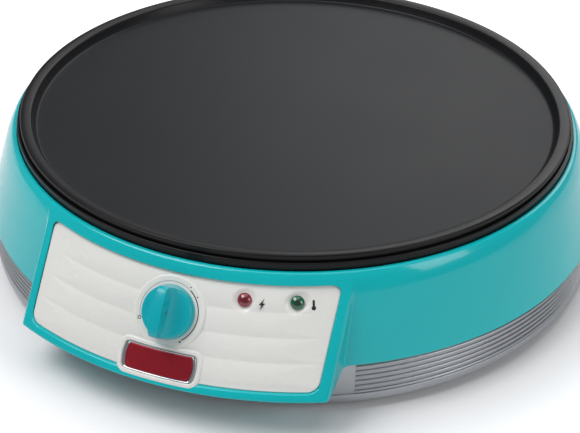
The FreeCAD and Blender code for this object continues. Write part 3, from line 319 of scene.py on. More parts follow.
turquoise = moulded("turquoise_gloss", linear(0, 184, 188), linear(0, 174, 180), 0.15, 0.3)
knob_turquoise = moulded("knob_turquoise", linear(0, 176, 186), linear(0, 162, 174), 0.24, 0.2)
cream = moulded("cream_panel", linear(228, 227, 223), linear(224, 223, 218), 0.26, 0.3)
dark_plastic = moulded("dark_base_plastic", linear(30, 31, 33), linear(22, 23, 25), 0.5, 0.0, 900.0, 0.00005)
silver = painted_metal("silver_paint", linear(186, 188, 191), linear(158, 160, 164), 0.34)
bright = painted_metal("bright_frame", linear(226, 227, 229), linear(186, 188, 192), 0.14, (30.0, 1.0, 1.0), 1.0)
steel = painted_metal("steel", linear(196, 197, 199), linear(150, 152, 156), 0.32, (1.0, 1.0, 20.0), 1.0)
zinc = painted_metal("zinc_sheet", linear(184, 186, 182), linear(150, 152, 150), 0.42, (8.0, 1.0, 1.0), 0.9)
coating = plate_coating()
black = surround_black()
red_sheet = brushed_red()
foot_rubber = rubber("foot_rubber")
ink = printed_ink()


# Mesh helpers: each piece stands at the origin with its place in its mesh
def piece(name, mesh, material, body="cooker", replaces=()):
    shown = bpy.data.objects.new(name, mesh)
    bpy.context.scene.collection.objects.link(shown)
    mesh.materials.clear()
    mesh.materials.append(material)
    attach(shown, body)
    if replaces:
        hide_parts(*replaces)


def to_mesh(name, bm, sharp=35.0):
    """Closes, orients and smooths a mesh, keeping edges that turn more than the given angle."""
    bmesh.ops.remove_doubles(bm, verts=bm.verts, dist=1e-6)
    bmesh.ops.recalc_face_normals(bm, faces=bm.faces)
    mesh = bpy.data.meshes.new(name)
    bm.to_mesh(mesh)
    bm.free()
    mesh.polygons.foreach_set("use_smooth", [True] * len(mesh.polygons))
    mesh.set_sharp_from_angle(angle=math.radians(sharp))
    return mesh


def arc(centre, radius, start, end, count=6):
    """Points of an arc in radius and height, its angles in degrees from straight out."""
    points = []
    for number in range(count + 1):
        angle = math.radians(start + (end - start) * number / count)
        points.append((centre[0] + radius * math.cos(angle), centre[1] + radius * math.sin(angle)))
    return points


def lathe(bm, profile, steps=256, axis=None):
    """Turns a closed profile of radius and height about the axis; radius 0 closes at a pole."""
    rings = []
    for radius, height in profile:
        if radius <= 1e-9:
            rings.append([bm.verts.new((0.0, 0.0, height * MM))])
            continue
        ring = []
        for number in range(steps):
            angle = 2.0 * math.pi * number / steps
            ring.append(bm.verts.new((radius * MM * math.cos(angle), radius * MM * math.sin(angle), height * MM)))
        rings.append(ring)
    for first, second in zip(rings, rings[1:]):
        bridge(bm, first, second)
    if profile[0][0] > 1e-9 and profile[0] != profile[-1]:
        bridge(bm, rings[-1], rings[0])
    if axis:
        made = [vert for ring in rings for vert in ring]
        bmesh.ops.transform(bm, matrix=axis, verts=made)


def bridge(bm, first, second):
    """Faces between two rings; a ring of one vertex is a pole."""
    count = max(len(first), len(second))
    if count == 1:
        return
    for number in range(count):
        after = (number + 1) % count
        corners = [first[number % len(first)], first[after % len(first)],
                   second[after % len(second)], second[number % len(second)]]
        kept = []
        for corner in corners:
            if corner not in kept:
                kept.append(corner)
        if len(kept) >= 3:
            bm.faces.new(kept)


def turned_piece(name, profile, material, replaces=(), steps=256, axis=None, sharp=35.0):
    bm = bmesh.new()
    lathe(bm, profile, steps, axis)
    piece(name, to_mesh(name, bm, sharp), material, "cooker", replaces)


# Console geometry: a point is given by its distance across, its height and how far it stands out
def cone_radius(height):
    return CONSOLE_TOP_RADIUS + SLANT * (CONSOLE_TOP - height)


def on_cone(across, height, out=0.0):
    radius = cone_radius(height)
    angle = math.asin(max(-1.0, min(1.0, across / radius)))
    normal = Vector((math.sin(angle) * math.cos(TILT), -math.cos(angle) * math.cos(TILT), math.sin(TILT)))
    spot = Vector((radius * math.sin(angle), -radius * math.cos(angle), height))
    return (spot + normal * out) * MM


def console_axis(height, angle=0.0):
    """The frame of a piece on the panel: Z out of the panel, Y up its slope, in metres."""
    turn = math.radians(angle)
    radius = cone_radius(height)
    outward = Vector((math.sin(turn) * math.cos(TILT), -math.cos(turn) * math.cos(TILT), math.sin(TILT)))
    sideways = Vector((math.cos(turn), math.sin(turn), 0.0))
    upward = outward.cross(sideways)
    spot = Vector((radius * math.sin(turn), -radius * math.cos(turn), height))
    frame_matrix = Matrix((sideways, upward, outward)).transposed().to_4x4()
    frame_matrix.translation = spot * MM
    return frame_matrix


# Cooking plate and surround: turned pieces with eased edges
def cooking_plate():
    rim_inner = PLATE_RADIUS - 6.2
    profile = [(0.0, PLATE_UNDER), (PLATE_RADIUS - 4.8, PLATE_UNDER)]
    profile += arc((PLATE_RADIUS - 4.8, PLATE_UNDER + 0.4), 0.4, -90, 0, 3)
    profile += [(PLATE_RADIUS - 4.4, RIM_SEAT), (PLATE_RADIUS - 0.4, RIM_SEAT)]
    profile += arc((PLATE_RADIUS - 0.6, 72.9), 0.6, -90, 0, 4)
    profile += arc((PLATE_RADIUS - 0.9, RIM_TOP - 0.9), 0.9, 0, 84, 7)
    profile += [(PLATE_RADIUS - 3.0, RIM_TOP - 0.16)]
    profile += arc((rim_inner + 1.1, RIM_TOP - 1.9), 1.2, 96, 160, 6)
    profile += arc((rim_inner - 2.0 - 1.1, PLATE_SURFACE + 1.4), 1.4, -20, -90, 6)
    profile += [(rim_inner - 8.0, PLATE_SURFACE), (100.0, PLATE_SURFACE), (50.0, PLATE_SURFACE), (0.0, PLATE_SURFACE)]
    turned_piece("cooking_plate", profile, coating, ("crepe_plate",), steps=360, sharp=50)


def black_surround():
    profile = [(SURROUND_OUTER, LEDGE_TOP)]
    profile += arc((SURROUND_OUTER - 0.45, SURROUND_TOP - 0.45), 0.45, 0, 90, 5)
    profile += arc((SURROUND_INNER + 0.2, SURROUND_TOP - 0.2), 0.2, 90, 180, 3)
    profile += [(SURROUND_INNER, RIM_SEAT), (PLATE_RADIUS - 3.8, RIM_SEAT), (PLATE_RADIUS - 3.8, SURROUND_UNDER),
                (SURROUND_INNER - 1.4, SURROUND_UNDER), (SURROUND_INNER - 1.4, LEDGE_TOP)]
    turned_piece("black_surround", profile, black, ("plate_surround",), steps=360)


# Upper housing: one skin whose columns run round it and whose rows run from its foot to its opening
CONSOLE_SIDE = 81.0
CONSOLE_LOW = 22.5
CONSOLE_CORNER = 2.6
ROW_TOP = 70.6
FOOT_ROUND = 1.4
BEZEL_PROUD = 1.0
BEZEL_ROUND = 0.5
POCKET_DEPTH = 2.0
POCKET_GAP = 0.3
POCKET_LOW = CONSOLE_FOOT - POCKET_GAP
POCKET_HIGH = CONSOLE_TOP + POCKET_GAP
LEDGE_INNER = 143.0
LEDGE_UNDER = 62.2
INNER_TOP_RADIUS = 155.4
INNER_FOOT_RADIUS = 165.6
UNDERSIDE_INNER = 167.0
UNDERSIDE_OUTER = 168.0
LIP_RADIUS = 154.5


def soft_most(first, second, blend):
    return -soft_least(-first, -second, blend)


def soft_least(first, second, blend):
    """The lesser of two numbers, rounded off where they meet."""
    share = max(0.0, min(1.0, 0.5 + 0.5 * (second - first) / blend))
    return second + (first - second) * share - blend * share * (1.0 - share)


def corner_reach(corner, short):
    """How far a rounded corner still reaches, at a distance past the start of its arc."""
    return math.sqrt(max(0.0, corner ** 2 - short ** 2))


def body_radius(height):
    """The round wall, with its softly broken shoulder."""
    climb = (height - HOUSING_FOOT) / (SHOULDER_HEIGHT - HOUSING_FOOT)
    wall = FOOT_RADIUS - (FOOT_RADIUS - SHOULDER_RADIUS) * climb
    crown = SHOULDER_RADIUS + 0.25 - (height - SHOULDER_HEIGHT) * 0.62
    return soft_least(wall, crown, 1.6)


def face_radius(height, out):
    return cone_radius(height) + math.hypot(1.0, SLANT) * out


def housing_radius(turn, height, out, foot):
    """The skin's distance from the axis at an angle from the console's middle."""
    if abs(turn) > 1.2:
        return body_radius(height)
    face = face_radius(height, out)
    above = height - foot
    if above < FOOT_ROUND:
        face -= FOOT_ROUND - corner_reach(FOOT_ROUND, FOOT_ROUND - above)
    side = CONSOLE_SIDE / max(abs(math.sin(turn)), 1e-3)
    console = soft_least(face, side, 3.2)
    return soft_most(body_radius(height), console, 1.5)


def pocket_half(height):
    """Half the pocket's width at a height, drawn in at its rounded corners."""
    half_along = (CONSOLE_TOP - CONSOLE_FOOT) / 2.0 + POCKET_GAP
    along = abs(height - (CONSOLE_TOP + CONSOLE_FOOT) / 2.0)
    short = max(0.0, along - (half_along - PANEL_CORNER * math.cos(TILT))) / math.cos(TILT)
    return PANEL_HALF + POCKET_GAP - PANEL_CORNER + corner_reach(PANEL_CORNER, min(short, PANEL_CORNER))


def housing_columns():
    """Each column: its kind and its place within that kind, from the console's middle to the back."""
    columns = [("pocket", share / 20.0) for share in range(21)]
    columns += [("bezel", share) for share in (0.0, 0.04, 0.1, 0.2, 0.34, 0.5, 0.75, 1.0)]
    columns += [("side", share / 40.0) for share in range(1, 41)]
    columns += [("round", share / 110.0) for share in range(1, 111)]
    return columns


def housing_rows():
    """Heights of the rows over the console's face and the body's wall, and whether they lie in the pocket."""
    corner = PANEL_CORNER * math.cos(TILT)
    corner_shares = (0.0, 0.03, 0.1, 0.2, 0.35, 0.5, 0.7, 1.0)
    edge_steps = (0.4, 0.18, 0.05)
    straight = POCKET_HIGH - POCKET_LOW - 2 * corner
    below = [CONSOLE_LOW + rise for rise in (0.0, 0.08, 0.25, 0.5, 0.9, FOOT_ROUND, 2.0)]
    below += [POCKET_LOW - step for step in edge_steps] + [POCKET_LOW]
    within = [POCKET_LOW + corner * share for share in corner_shares]
    within += [POCKET_LOW + corner + straight * number / 24.0 for number in range(1, 24)]
    within += [POCKET_HIGH - corner * share for share in reversed(corner_shares)]
    above = [POCKET_HIGH] + [POCKET_HIGH + step for step in reversed(edge_steps)] + [68.9, 69.5, 70.1, ROW_TOP]
    return [(height, False) for height in below] + [(height, True) for height in within] \
        + [(height, False) for height in above]


def housing_point(kind, share, height, inside):
    """A point of the skin, as an angle from the console's middle, a radius and a height."""
    foot = CONSOLE_LOW
    half = pocket_half(height)
    face = face_radius(height, BEZEL_PROUD)
    corner_across = CONSOLE_SIDE - CONSOLE_CORNER
    if kind == "pocket":
        if inside:
            floor_radius = face_radius(height, -POCKET_DEPTH)
            return math.asin(half * share / floor_radius), floor_radius, height
        turn = math.asin(half * share / face)
    elif kind == "bezel":
        turn = math.asin((half + (corner_across - half) * share) / face)
    else:
        corner_turn = math.asin(corner_across / face)
        body_turn = math.asin(CONSOLE_SIDE / body_radius(height)) + 0.035
        if kind == "side":
            foot = CONSOLE_LOW + (HOUSING_FOOT - CONSOLE_LOW) * smooth_share(share, 0.1, 0.9)
            turn = corner_turn + (max(body_turn, corner_turn + 0.02) - corner_turn) * share
        else:
            foot = HOUSING_FOOT
            turn = body_turn + (math.pi - body_turn) * share
        height = foot + (height - CONSOLE_LOW) * (ROW_TOP - foot) / (ROW_TOP - CONSOLE_LOW)
    out = BEZEL_PROUD
    if kind in ("pocket", "bezel"):
        edge = max(abs(face * math.sin(turn)) - half, POCKET_LOW - height, height - POCKET_HIGH)
        if edge < BEZEL_ROUND:
            out -= BEZEL_ROUND - corner_reach(BEZEL_ROUND, BEZEL_ROUND - max(edge, 0.0))
    return turn, housing_radius(turn, height, out, foot), height


def housing_section(kind, share):
    """One closed column: up the inner wall's foot, over the skin, over the lip and down to the ledge."""
    skin = [housing_point(kind, share, height, inside) for height, inside in housing_rows()]
    base_turn, base_radius, base_height = skin[0]
    start = [(LEDGE_INNER, LEDGE_UNDER), (INNER_TOP_RADIUS, LEDGE_UNDER), (INNER_FOOT_RADIUS, HOUSING_FOOT),
             (UNDERSIDE_INNER, HOUSING_FOOT)]
    for part in (0.0, 0.5, 0.9):
        start.append((UNDERSIDE_OUTER + (base_radius - UNDERSIDE_OUTER) * part,
                      HOUSING_FOOT + (base_height - HOUSING_FOOT) * part))
    lip = arc((LIP_RADIUS - 1.9, HOUSING_TOP - 1.9), 2.0, 30, 88, 7)
    lip += [(OPENING_RADIUS + 0.4, HOUSING_TOP + 0.08), (OPENING_RADIUS + 0.1, HOUSING_TOP - 0.05),
            (OPENING_RADIUS, HOUSING_TOP - 0.3), (OPENING_RADIUS, LEDGE_TOP), (LEDGE_INNER, LEDGE_TOP)]
    top_turn = skin[-1][0]
    return [(base_turn, *point) for point in start] + skin + [(top_turn, *point) for point in lip]


def upper_housing():
    lines = [housing_section(kind, share) for kind, share in housing_columns()]
    bm = bmesh.new()
    loop = []
    for side, half in ((1.0, lines), (-1.0, lines[1:-1])):
        for line in half:
            loop.append([bm.verts.new(Vector((side * radius * math.sin(turn), -radius * math.cos(turn), height)) * MM)
                         for turn, radius, height in line])
    order = list(range(len(lines))) + list(range(len(loop) - 1, len(lines) - 1, -1))
    for first, second in zip(order, order[1:] + order[:1]):
        bridge(bm, loop[first], loop[second])
    bmesh.ops.dissolve_degenerate(bm, dist=2e-6, edges=bm.edges)
    piece("turquoise_housing", to_mesh("turquoise_housing", bm, 38), turquoise, "cooker",
          ("upper_housing",))


# Control panel: a fine grid laid on the console's cone, raised and sunk by its form
def edge_distance(across, along, half_along):
    """How far a point lies inside the panel's rounded outline; negative outside."""
    x = abs(across) - (PANEL_HALF - PANEL_CORNER)
    y = abs(along) - (half_along - PANEL_CORNER)
    outside = math.hypot(max(x, 0.0), max(y, 0.0))
    return PANEL_CORNER - outside - min(max(x, y), 0.0)


def smooth_share(value, low, high):
    share = max(0.0, min(1.0, (value - low) / (high - low)))
    return share * share * (3.0 - 2.0 * share)


def lap_height(across, height):
    """The bulging laps, which fade out towards the panel's sides."""
    low = CONSOLE_FOOT + LAP_MARGIN
    high = CONSOLE_TOP - LAP_MARGIN
    if not low < height < high:
        return 0.0
    pitch = (high - low) / LAP_COUNT
    share = ((height - low) / pitch) % 1.0
    bulge = LAP_BULGE * 4.0 * share * (1.0 - share)
    angle = math.asin(across / cone_radius(height))
    fade = LAP_SHIFT * math.cos(angle) - LAP_FADE
    return max(0.0, min(bulge, fade))


def panel_height(across, height, edge):
    rise = lap_height(across, height)
    if edge < PANEL_EDGE:
        inside = PANEL_EDGE - max(edge, 0.0)
        rise += math.sqrt(max(0.0, PANEL_EDGE ** 2 - inside ** 2)) - PANEL_EDGE
    for angle in LAMP_ANGLES.values():
        lamp_across = cone_radius(LAMP_HEIGHT) * math.sin(math.radians(angle))
        away = math.hypot(across - lamp_across, (height - LAMP_HEIGHT) / math.cos(TILT))
        rise -= (1.0 - smooth_share(away, LENS_RADIUS, DISH_RADIUS)) * DISH_DEPTH
    return rise


def spread(half, fine, coarse):
    """Stations from -half to half, close together near both ends."""
    stations = [0.0, fine * 0.15, fine * 0.4, fine * 0.7, fine, fine * 1.5, fine * 2.2, fine * 3.2]
    count = max(1, round((half - stations[-1]) / coarse))
    step = (half - stations[-1]) / count
    stations += [stations[-1] + step * (number + 1) for number in range(count)]
    left = [-half + station for station in stations]
    return left + [-station for station in reversed(left[:-1])]


def control_panel():
    half_along = (CONSOLE_TOP - CONSOLE_FOOT) / 2.0
    middle = (CONSOLE_TOP + CONSOLE_FOOT) / 2.0
    corner_height = PANEL_CORNER * math.cos(TILT)
    rows = spread(half_along, 0.35, 0.42)
    columns = spread(1.0, 0.006, 0.0066)
    bm = bmesh.new()
    grid = []
    for along in rows:
        short = max(0.0, abs(along) - (half_along - corner_height)) / math.cos(TILT)
        inset = PANEL_CORNER - math.sqrt(max(0.0, PANEL_CORNER ** 2 - short ** 2))
        line = []
        for share in columns:
            across = share * (PANEL_HALF - inset)
            edge = edge_distance(across, along / math.cos(TILT), half_along / math.cos(TILT))
            height = middle + along
            line.append(bm.verts.new(on_cone(across, height, panel_height(across, height, edge))))
        grid.append(line)
    for first, second in zip(grid, grid[1:]):
        for number in range(len(first) - 1):
            bm.faces.new((first[number], first[number + 1], second[number + 1], second[number]))
    rim = [edge for edge in bm.edges if edge.is_boundary]
    skirt = bmesh.ops.extrude_edge_only(bm, edges=rim)["geom"]
    sunk = [item for item in skirt if isinstance(item, bmesh.types.BMVert)]
    inward = Vector((0.0, math.cos(TILT), -math.sin(TILT))) * (PANEL_THICKNESS - PANEL_EDGE) * MM
    bmesh.ops.translate(bm, verts=sunk, vec=inward)
    back = [edge for edge in bm.edges if edge.is_boundary]
    bmesh.ops.edgeloop_fill(bm, edges=back)
    piece("cream_panel", to_mesh("cream_panel", bm, 40), cream, "cooker", ("control_panel",))


# Pieces that follow an outline on the panel: rings of the outline at set distances and heights
def bowed_outline(half, rise, bow, grow):
    """A plate outline with straight long edges and bowed ends, grown outwards, as points across and along."""
    half_width = half - bow + grow
    top = rise / 2.0 + grow * (1.0 if grow > 0.0 else 0.42)
    corner = 1.5 + grow * (0.9 if grow > 0.0 else 0.3)
    quarter_steps = 6
    points = []
    sides = ((1, 1), (-1, 1), (-1, -1), (1, -1))
    for number, (side, up) in enumerate(sides):
        centre = (side * (half_width - corner), up * (top - corner))
        start = number * 90.0
        for step in range(quarter_steps + 1):
            angle = math.radians(start + 90.0 * step / quarter_steps)
            points.append((centre[0] + corner * math.cos(angle), centre[1] + corner * math.sin(angle)))
        following = sides[(number + 1) % 4]
        end = (following[0] * (half_width - corner), following[1] * (top - corner))
        for step in range(1, 12):
            share = step / 12.0
            angle = math.radians(start + 90.0)
            first = (centre[0] + corner * math.cos(angle), centre[1] + corner * math.sin(angle))
            last = (end[0] + corner * math.cos(angle), end[1] + corner * math.sin(angle))
            points.append((first[0] + (last[0] - first[0]) * share, first[1] + (last[1] - first[1]) * share))
    bowed = []
    for across, along in points:
        towards_end = smooth_share(abs(across), half_width * 0.55, half_width)
        swell = bow * (1.0 - min(1.0, (along / top) ** 2)) * towards_end
        bowed.append((across + math.copysign(swell, across), along))
    return bowed


def outline_rings(bm, height, layers, half, rise, bow):
    rings = []
    for grow, out in layers:
        ring = []
        for across, along in bowed_outline(half, rise, bow, grow):
            ring.append(bm.verts.new(on_cone(across, height + along * math.cos(TILT), out)))
        rings.append(ring)
    for first, second in zip(rings, rings[1:]):
        bridge(bm, first, second)
    return rings


def badge():
    half, rise, bow = 18.8, 12.8, 1.1
    bm = bmesh.new()
    layers = [(3.4, -1.5), (2.9, 0.2), (2.7, 0.75), (2.35, 1.1), (1.9, 1.25), (0.9, 1.25), (0.5, 1.15), (0.3, 0.9),
              (0.25, 0.1)]
    rings = outline_rings(bm, BADGE_HEIGHT, layers, half, rise, bow)
    bridge(bm, rings[-1], rings[0])
    piece("badge_seat", to_mesh("badge_seat", bm, 45), cream, "cooker")

    bm = bmesh.new()
    layers = [(0.0, 0.3), (0.0, 1.2), (-0.12, 1.45), (-0.35, 1.56), (-0.7, 1.5), (-1.45, 1.1), (-1.6, 1.0),
              (-1.6, 0.3)]
    rings = outline_rings(bm, BADGE_HEIGHT, layers, half, rise, bow)
    bridge(bm, rings[-1], rings[0])
    piece("bright_badge_frame", to_mesh("bright_badge_frame", bm, 50), bright, "cooker",
          ("badge_frame",))

    bm = bmesh.new()
    layers = [(-1.66, 0.3), (-1.66, 1.1), (-1.76, 1.3), (-2.0, 1.36), (-2.7, 1.36), (-2.76, 1.3), (-3.0, 1.3),
              (-3.06, 1.36), (-4.0, 1.36), (-5.0, 1.36)]
    rings = outline_rings(bm, BADGE_HEIGHT, layers, half, rise, bow)
    bmesh.ops.contextual_create(bm, geom=rings[0])
    bmesh.ops.contextual_create(bm, geom=rings[-1])
    piece("red_inlay", to_mesh("red_inlay", bm, 50), red_sheet, "cooker", ("badge_inlay",))


# Dial: a raised ring round the knob with its printed scale
def dial():
    axis = console_axis(KNOB_HEIGHT)
    profile = [(6.6, 0.1), (6.6, -1.4), (18.6, -1.4), (18.3, -0.2)]
    profile += arc((16.9, -0.35), 1.25, 12, 90, 8)
    profile += [(16.2, 0.9), (6.9, 0.9)]
    turned_piece("dial_ring", profile, cream, axis=axis, steps=192)

    bm = bmesh.new()
    printed_arc(bm, axis, 14.75, 0.18, -108, 30)
    printed_arc(bm, axis, 14.75, 0.5, 34, 142)
    for angle, radius, size in ((31.0, 15.9, 0.36), (52.0, 15.9, 0.36), (146.0, 15.2, 0.5)):
        printed_dot(bm, axis, angle, radius, 0.0, size)
    printed_dot(bm, axis, -112.0, 15.2, 0.55, 0.95)
    piece("dial_scale", to_mesh("dial_scale", bm), ink, "cooker")


def printed_arc(bm, axis, radius, width, start, end):
    """A printed arc on the dial; angles run clockwise from the top."""
    count = max(8, int(abs(end - start) / 3))
    outer, inner = [], []
    for number in range(count + 1):
        angle = math.radians(90.0 - (start + (end - start) * number / count))
        for points, reach in ((outer, radius + width / 2), (inner, radius - width / 2)):
            points.append((reach * math.cos(angle), reach * math.sin(angle)))
    slab(bm, axis, outer + inner[::-1], DIAL_FACE, INK_TOP)


def printed_dot(bm, axis, angle, radius, hole, size):
    turn = math.radians(90.0 - angle)
    centre = (radius * math.cos(turn), radius * math.sin(turn))
    rings = []
    reaches = [size, size] if hole == 0.0 else [size, size, hole, hole]
    heights = [DIAL_FACE, INK_TOP] if hole == 0.0 else [DIAL_FACE, INK_TOP, INK_TOP, DIAL_FACE]
    for reach, height in zip(reaches, heights):
        ring = []
        for number in range(20):
            step = 2.0 * math.pi * number / 20
            spot = Vector((centre[0] + reach * math.cos(step), centre[1] + reach * math.sin(step), height)) * MM
            ring.append(bm.verts.new(axis @ spot))
        rings.append(ring)
    for first, second in zip(rings, rings[1:]):
        bridge(bm, first, second)
    if hole:
        bridge(bm, rings[-1], rings[0])
    else:
        bm.faces.new(rings[0])
        bm.faces.new(rings[-1])


def slab(bm, axis, outline, low, high):
    """A thin plate from an outline in the plane of its own axis."""
    layers = []
    for height in (low, high):
        layers.append([bm.verts.new(axis @ (Vector((x, y, height)) * MM)) for x, y in outline])
    bridge(bm, layers[0], layers[1])
    bm.faces.new(layers[0])
    bm.faces.new(layers[1])


def pictograms():
    """A lightning bolt beside the red lamp and a thermometer beside the green one."""
    bm = bmesh.new()
    bolt = [(0.9, 2.5), (-1.35, -0.35), (-0.15, -0.35), (-0.85, -2.5), (1.35, 0.45), (0.15, 0.45)]
    slab(bm, console_axis(SIGN_HEIGHT, 15.3), bolt, 0.2, 0.85)
    stem = [(0.55, -0.3), (0.55, 2.2), (0.3, 2.62), (-0.3, 2.62), (-0.55, 2.2), (-0.55, -0.3)]
    slab(bm, console_axis(SIGN_HEIGHT, 23.9), stem, 0.0, 0.16)
    bulb = [(1.05 * math.cos(math.radians(a)), -1.2 + 1.05 * math.sin(math.radians(a))) for a in range(0, 360, 18)]
    slab(bm, console_axis(SIGN_HEIGHT, 23.9), bulb, 0.0, 0.17)
    piece("lamp_signs", to_mesh("lamp_signs", bm), ink, "cooker")


# Knob: skirt and a grip standing between two hollow scoops
KNOB_LOW = 1.1
SKIRT_TOP = 5.1
KNOB_TOP = 17.7
SCOOP = 8.0
GRIP_HALF = 2.6
KNOB_RADIUS = 13.2
FOOT_EASE = 0.25
SKIRT_DRAFT = 0.175
GRIP_DRAFT = 0.03


def wall_radius(height):
    """The knob's wall, which leans in more on its skirt than on its grip."""
    skirt = SKIRT_DRAFT * (min(height, SKIRT_TOP) - KNOB_LOW)
    return KNOB_RADIUS - skirt - GRIP_DRAFT * max(0.0, height - SKIRT_TOP)


def grip_surface(across, along):
    """The height of the knob's face over its own plane, in its own frame."""
    beyond = abs(across) - GRIP_HALF
    if beyond <= 0.0:
        flank = KNOB_TOP + 4.0 - beyond * 3.0
    else:
        reach = min(beyond, SCOOP)
        flank = SKIRT_TOP + SCOOP - math.sqrt(max(0.0, SCOOP ** 2 - (SCOOP - reach) ** 2))
    crown = KNOB_TOP - 0.012 * along * along - 0.03 * across * across
    return soft_least(crown, flank, 1.6)


def thermostat_knob():
    axis = console_axis(KNOB_HEIGHT)
    bm = bmesh.new()
    steps = 288
    rings = []
    inner_count = 44
    for number in range(steps):
        turn = 2.0 * math.pi * number / steps
        direction = (math.sin(turn), math.cos(turn))
        column = [(13.0, KNOB_LOW), (KNOB_RADIUS, KNOB_LOW + FOOT_EASE)]
        edge_radius = 12.5
        for _ in range(4):
            top = grip_surface(direction[0] * edge_radius, direction[1] * edge_radius)
            edge_radius = wall_radius(top)
        ease = 0.8 + 1.9 * smooth_share(top, SKIRT_TOP, KNOB_TOP)
        wall_top = top - ease
        for share in (0.15, 0.35, 0.55, 0.8, 1.0):
            height = KNOB_LOW + FOOT_EASE + (wall_top - KNOB_LOW - FOOT_EASE) * share
            column.append((wall_radius(height), height))
        outer = column[-1][0]
        inside = edge_radius - ease
        inside_top = grip_surface(direction[0] * inside, direction[1] * inside)
        for share in (0.2, 0.4, 0.6, 0.8, 1.0):
            first, middle, last = (1 - share) ** 2, 2 * share * (1 - share), share * share
            column.append((first * outer + middle * edge_radius + last * inside,
                           first * wall_top + middle * top + last * inside_top))
        for step in range(1, inner_count):
            radius = inside * (1.0 - step / inner_count)
            column.append((radius, grip_surface(direction[0] * radius, direction[1] * radius)))
        rings.append([bm.verts.new(axis @ (Vector((direction[0] * radius, direction[1] * radius, height)) * MM))
                      for radius, height in column])
    for number in range(steps):
        first, second = rings[number], rings[(number + 1) % steps]
        for level in range(len(first) - 1):
            bm.faces.new((first[level], first[level + 1], second[level + 1], second[level]))
    centre = bm.verts.new(axis @ (Vector((0, 0, grip_surface(0.0, 0.0))) * MM))
    for number in range(steps):
        bm.faces.new((rings[number][-1], centre, rings[(number + 1) % steps][-1]))
    bm.faces.new([ring[0] for ring in rings])
    hub = [(0.0, KNOB_LOW + 0.3), (5.0, KNOB_LOW + 0.3), (5.0, -4.0), (3.2, -4.0), (3.2, -3.0), (0.0, -3.0)]
    lathe(bm, hub, 48, axis)
    piece("thermostat_grip", to_mesh("thermostat_grip", bm, 48), knob_turquoise, "knob",
          ("thermostat_knob",))


# Lamps: domed lenses
def lamp_lenses():
    # each lamp's second colour is the painted glow at its lens rim
    tints_and_glows = {"power": (linear(92, 0, 22), linear(150, 12, 44), "red_lens"),
             "ready": (linear(0, 52, 32), linear(6, 104, 68), "green_lens")}
    for name, angle in LAMP_ANGLES.items():
        axis = console_axis(LAMP_HEIGHT, angle)
        deep, light, slot = tints_and_glows[name]
        ball = (LENS_RADIUS ** 2 + LENS_RISE ** 2) / (2 * LENS_RISE)
        profile = [(0.0, -6.0), (5.0, -6.0), (5.0, -4.8), (LENS_RADIUS, -4.8), (LENS_RADIUS, -0.1)]
        reach = math.degrees(math.asin(LENS_RADIUS / ball))
        profile += arc((0.0, LENS_RISE - ball), ball, 90.0 - reach, 90.0, 14)
        profile[-1] = (0.0, LENS_RISE)
        centre = axis @ Vector((0.0, 0.0, LENS_RISE * MM))
        tint_and_glow = lens_plastic_with_painted_glow(name + "_lens_plastic", deep, light, centre)
        turned_piece(name + "_lens", profile, tint_and_glow, (name + "_lamp_lens",), steps=64, axis=axis, sharp=50)


# Base band: plain turned ring, with its ribs laid by a node tree
def base_band():
    floor_radius = BAND_RADIUS - 8.6
    profile = [(BAND_RADIUS - BAND_WALL, HOUSING_FOOT - 0.2), (BAND_RADIUS, HOUSING_FOOT - 0.2), (BAND_RADIUS, 10.4)]
    profile += arc((BAND_RADIUS + 0.1, 9.9), 0.5, 90, 0, 3)
    profile += arc((BAND_RADIUS - 0.3, 6.5), 0.9, 0, -90, 5)
    profile += [(floor_radius, BAND_FOOT), (floor_radius, FOOT_HEIGHT), (BAND_RADIUS - BAND_WALL, FOOT_HEIGHT)]
    turned_piece("silver_band", profile, silver, ("base_band",), steps=360)


def tree_input(tree, name, kind, value):
    socket = tree.interface.new_socket(name=name, in_out="INPUT", socket_type=kind)
    socket.default_value = value
    return socket


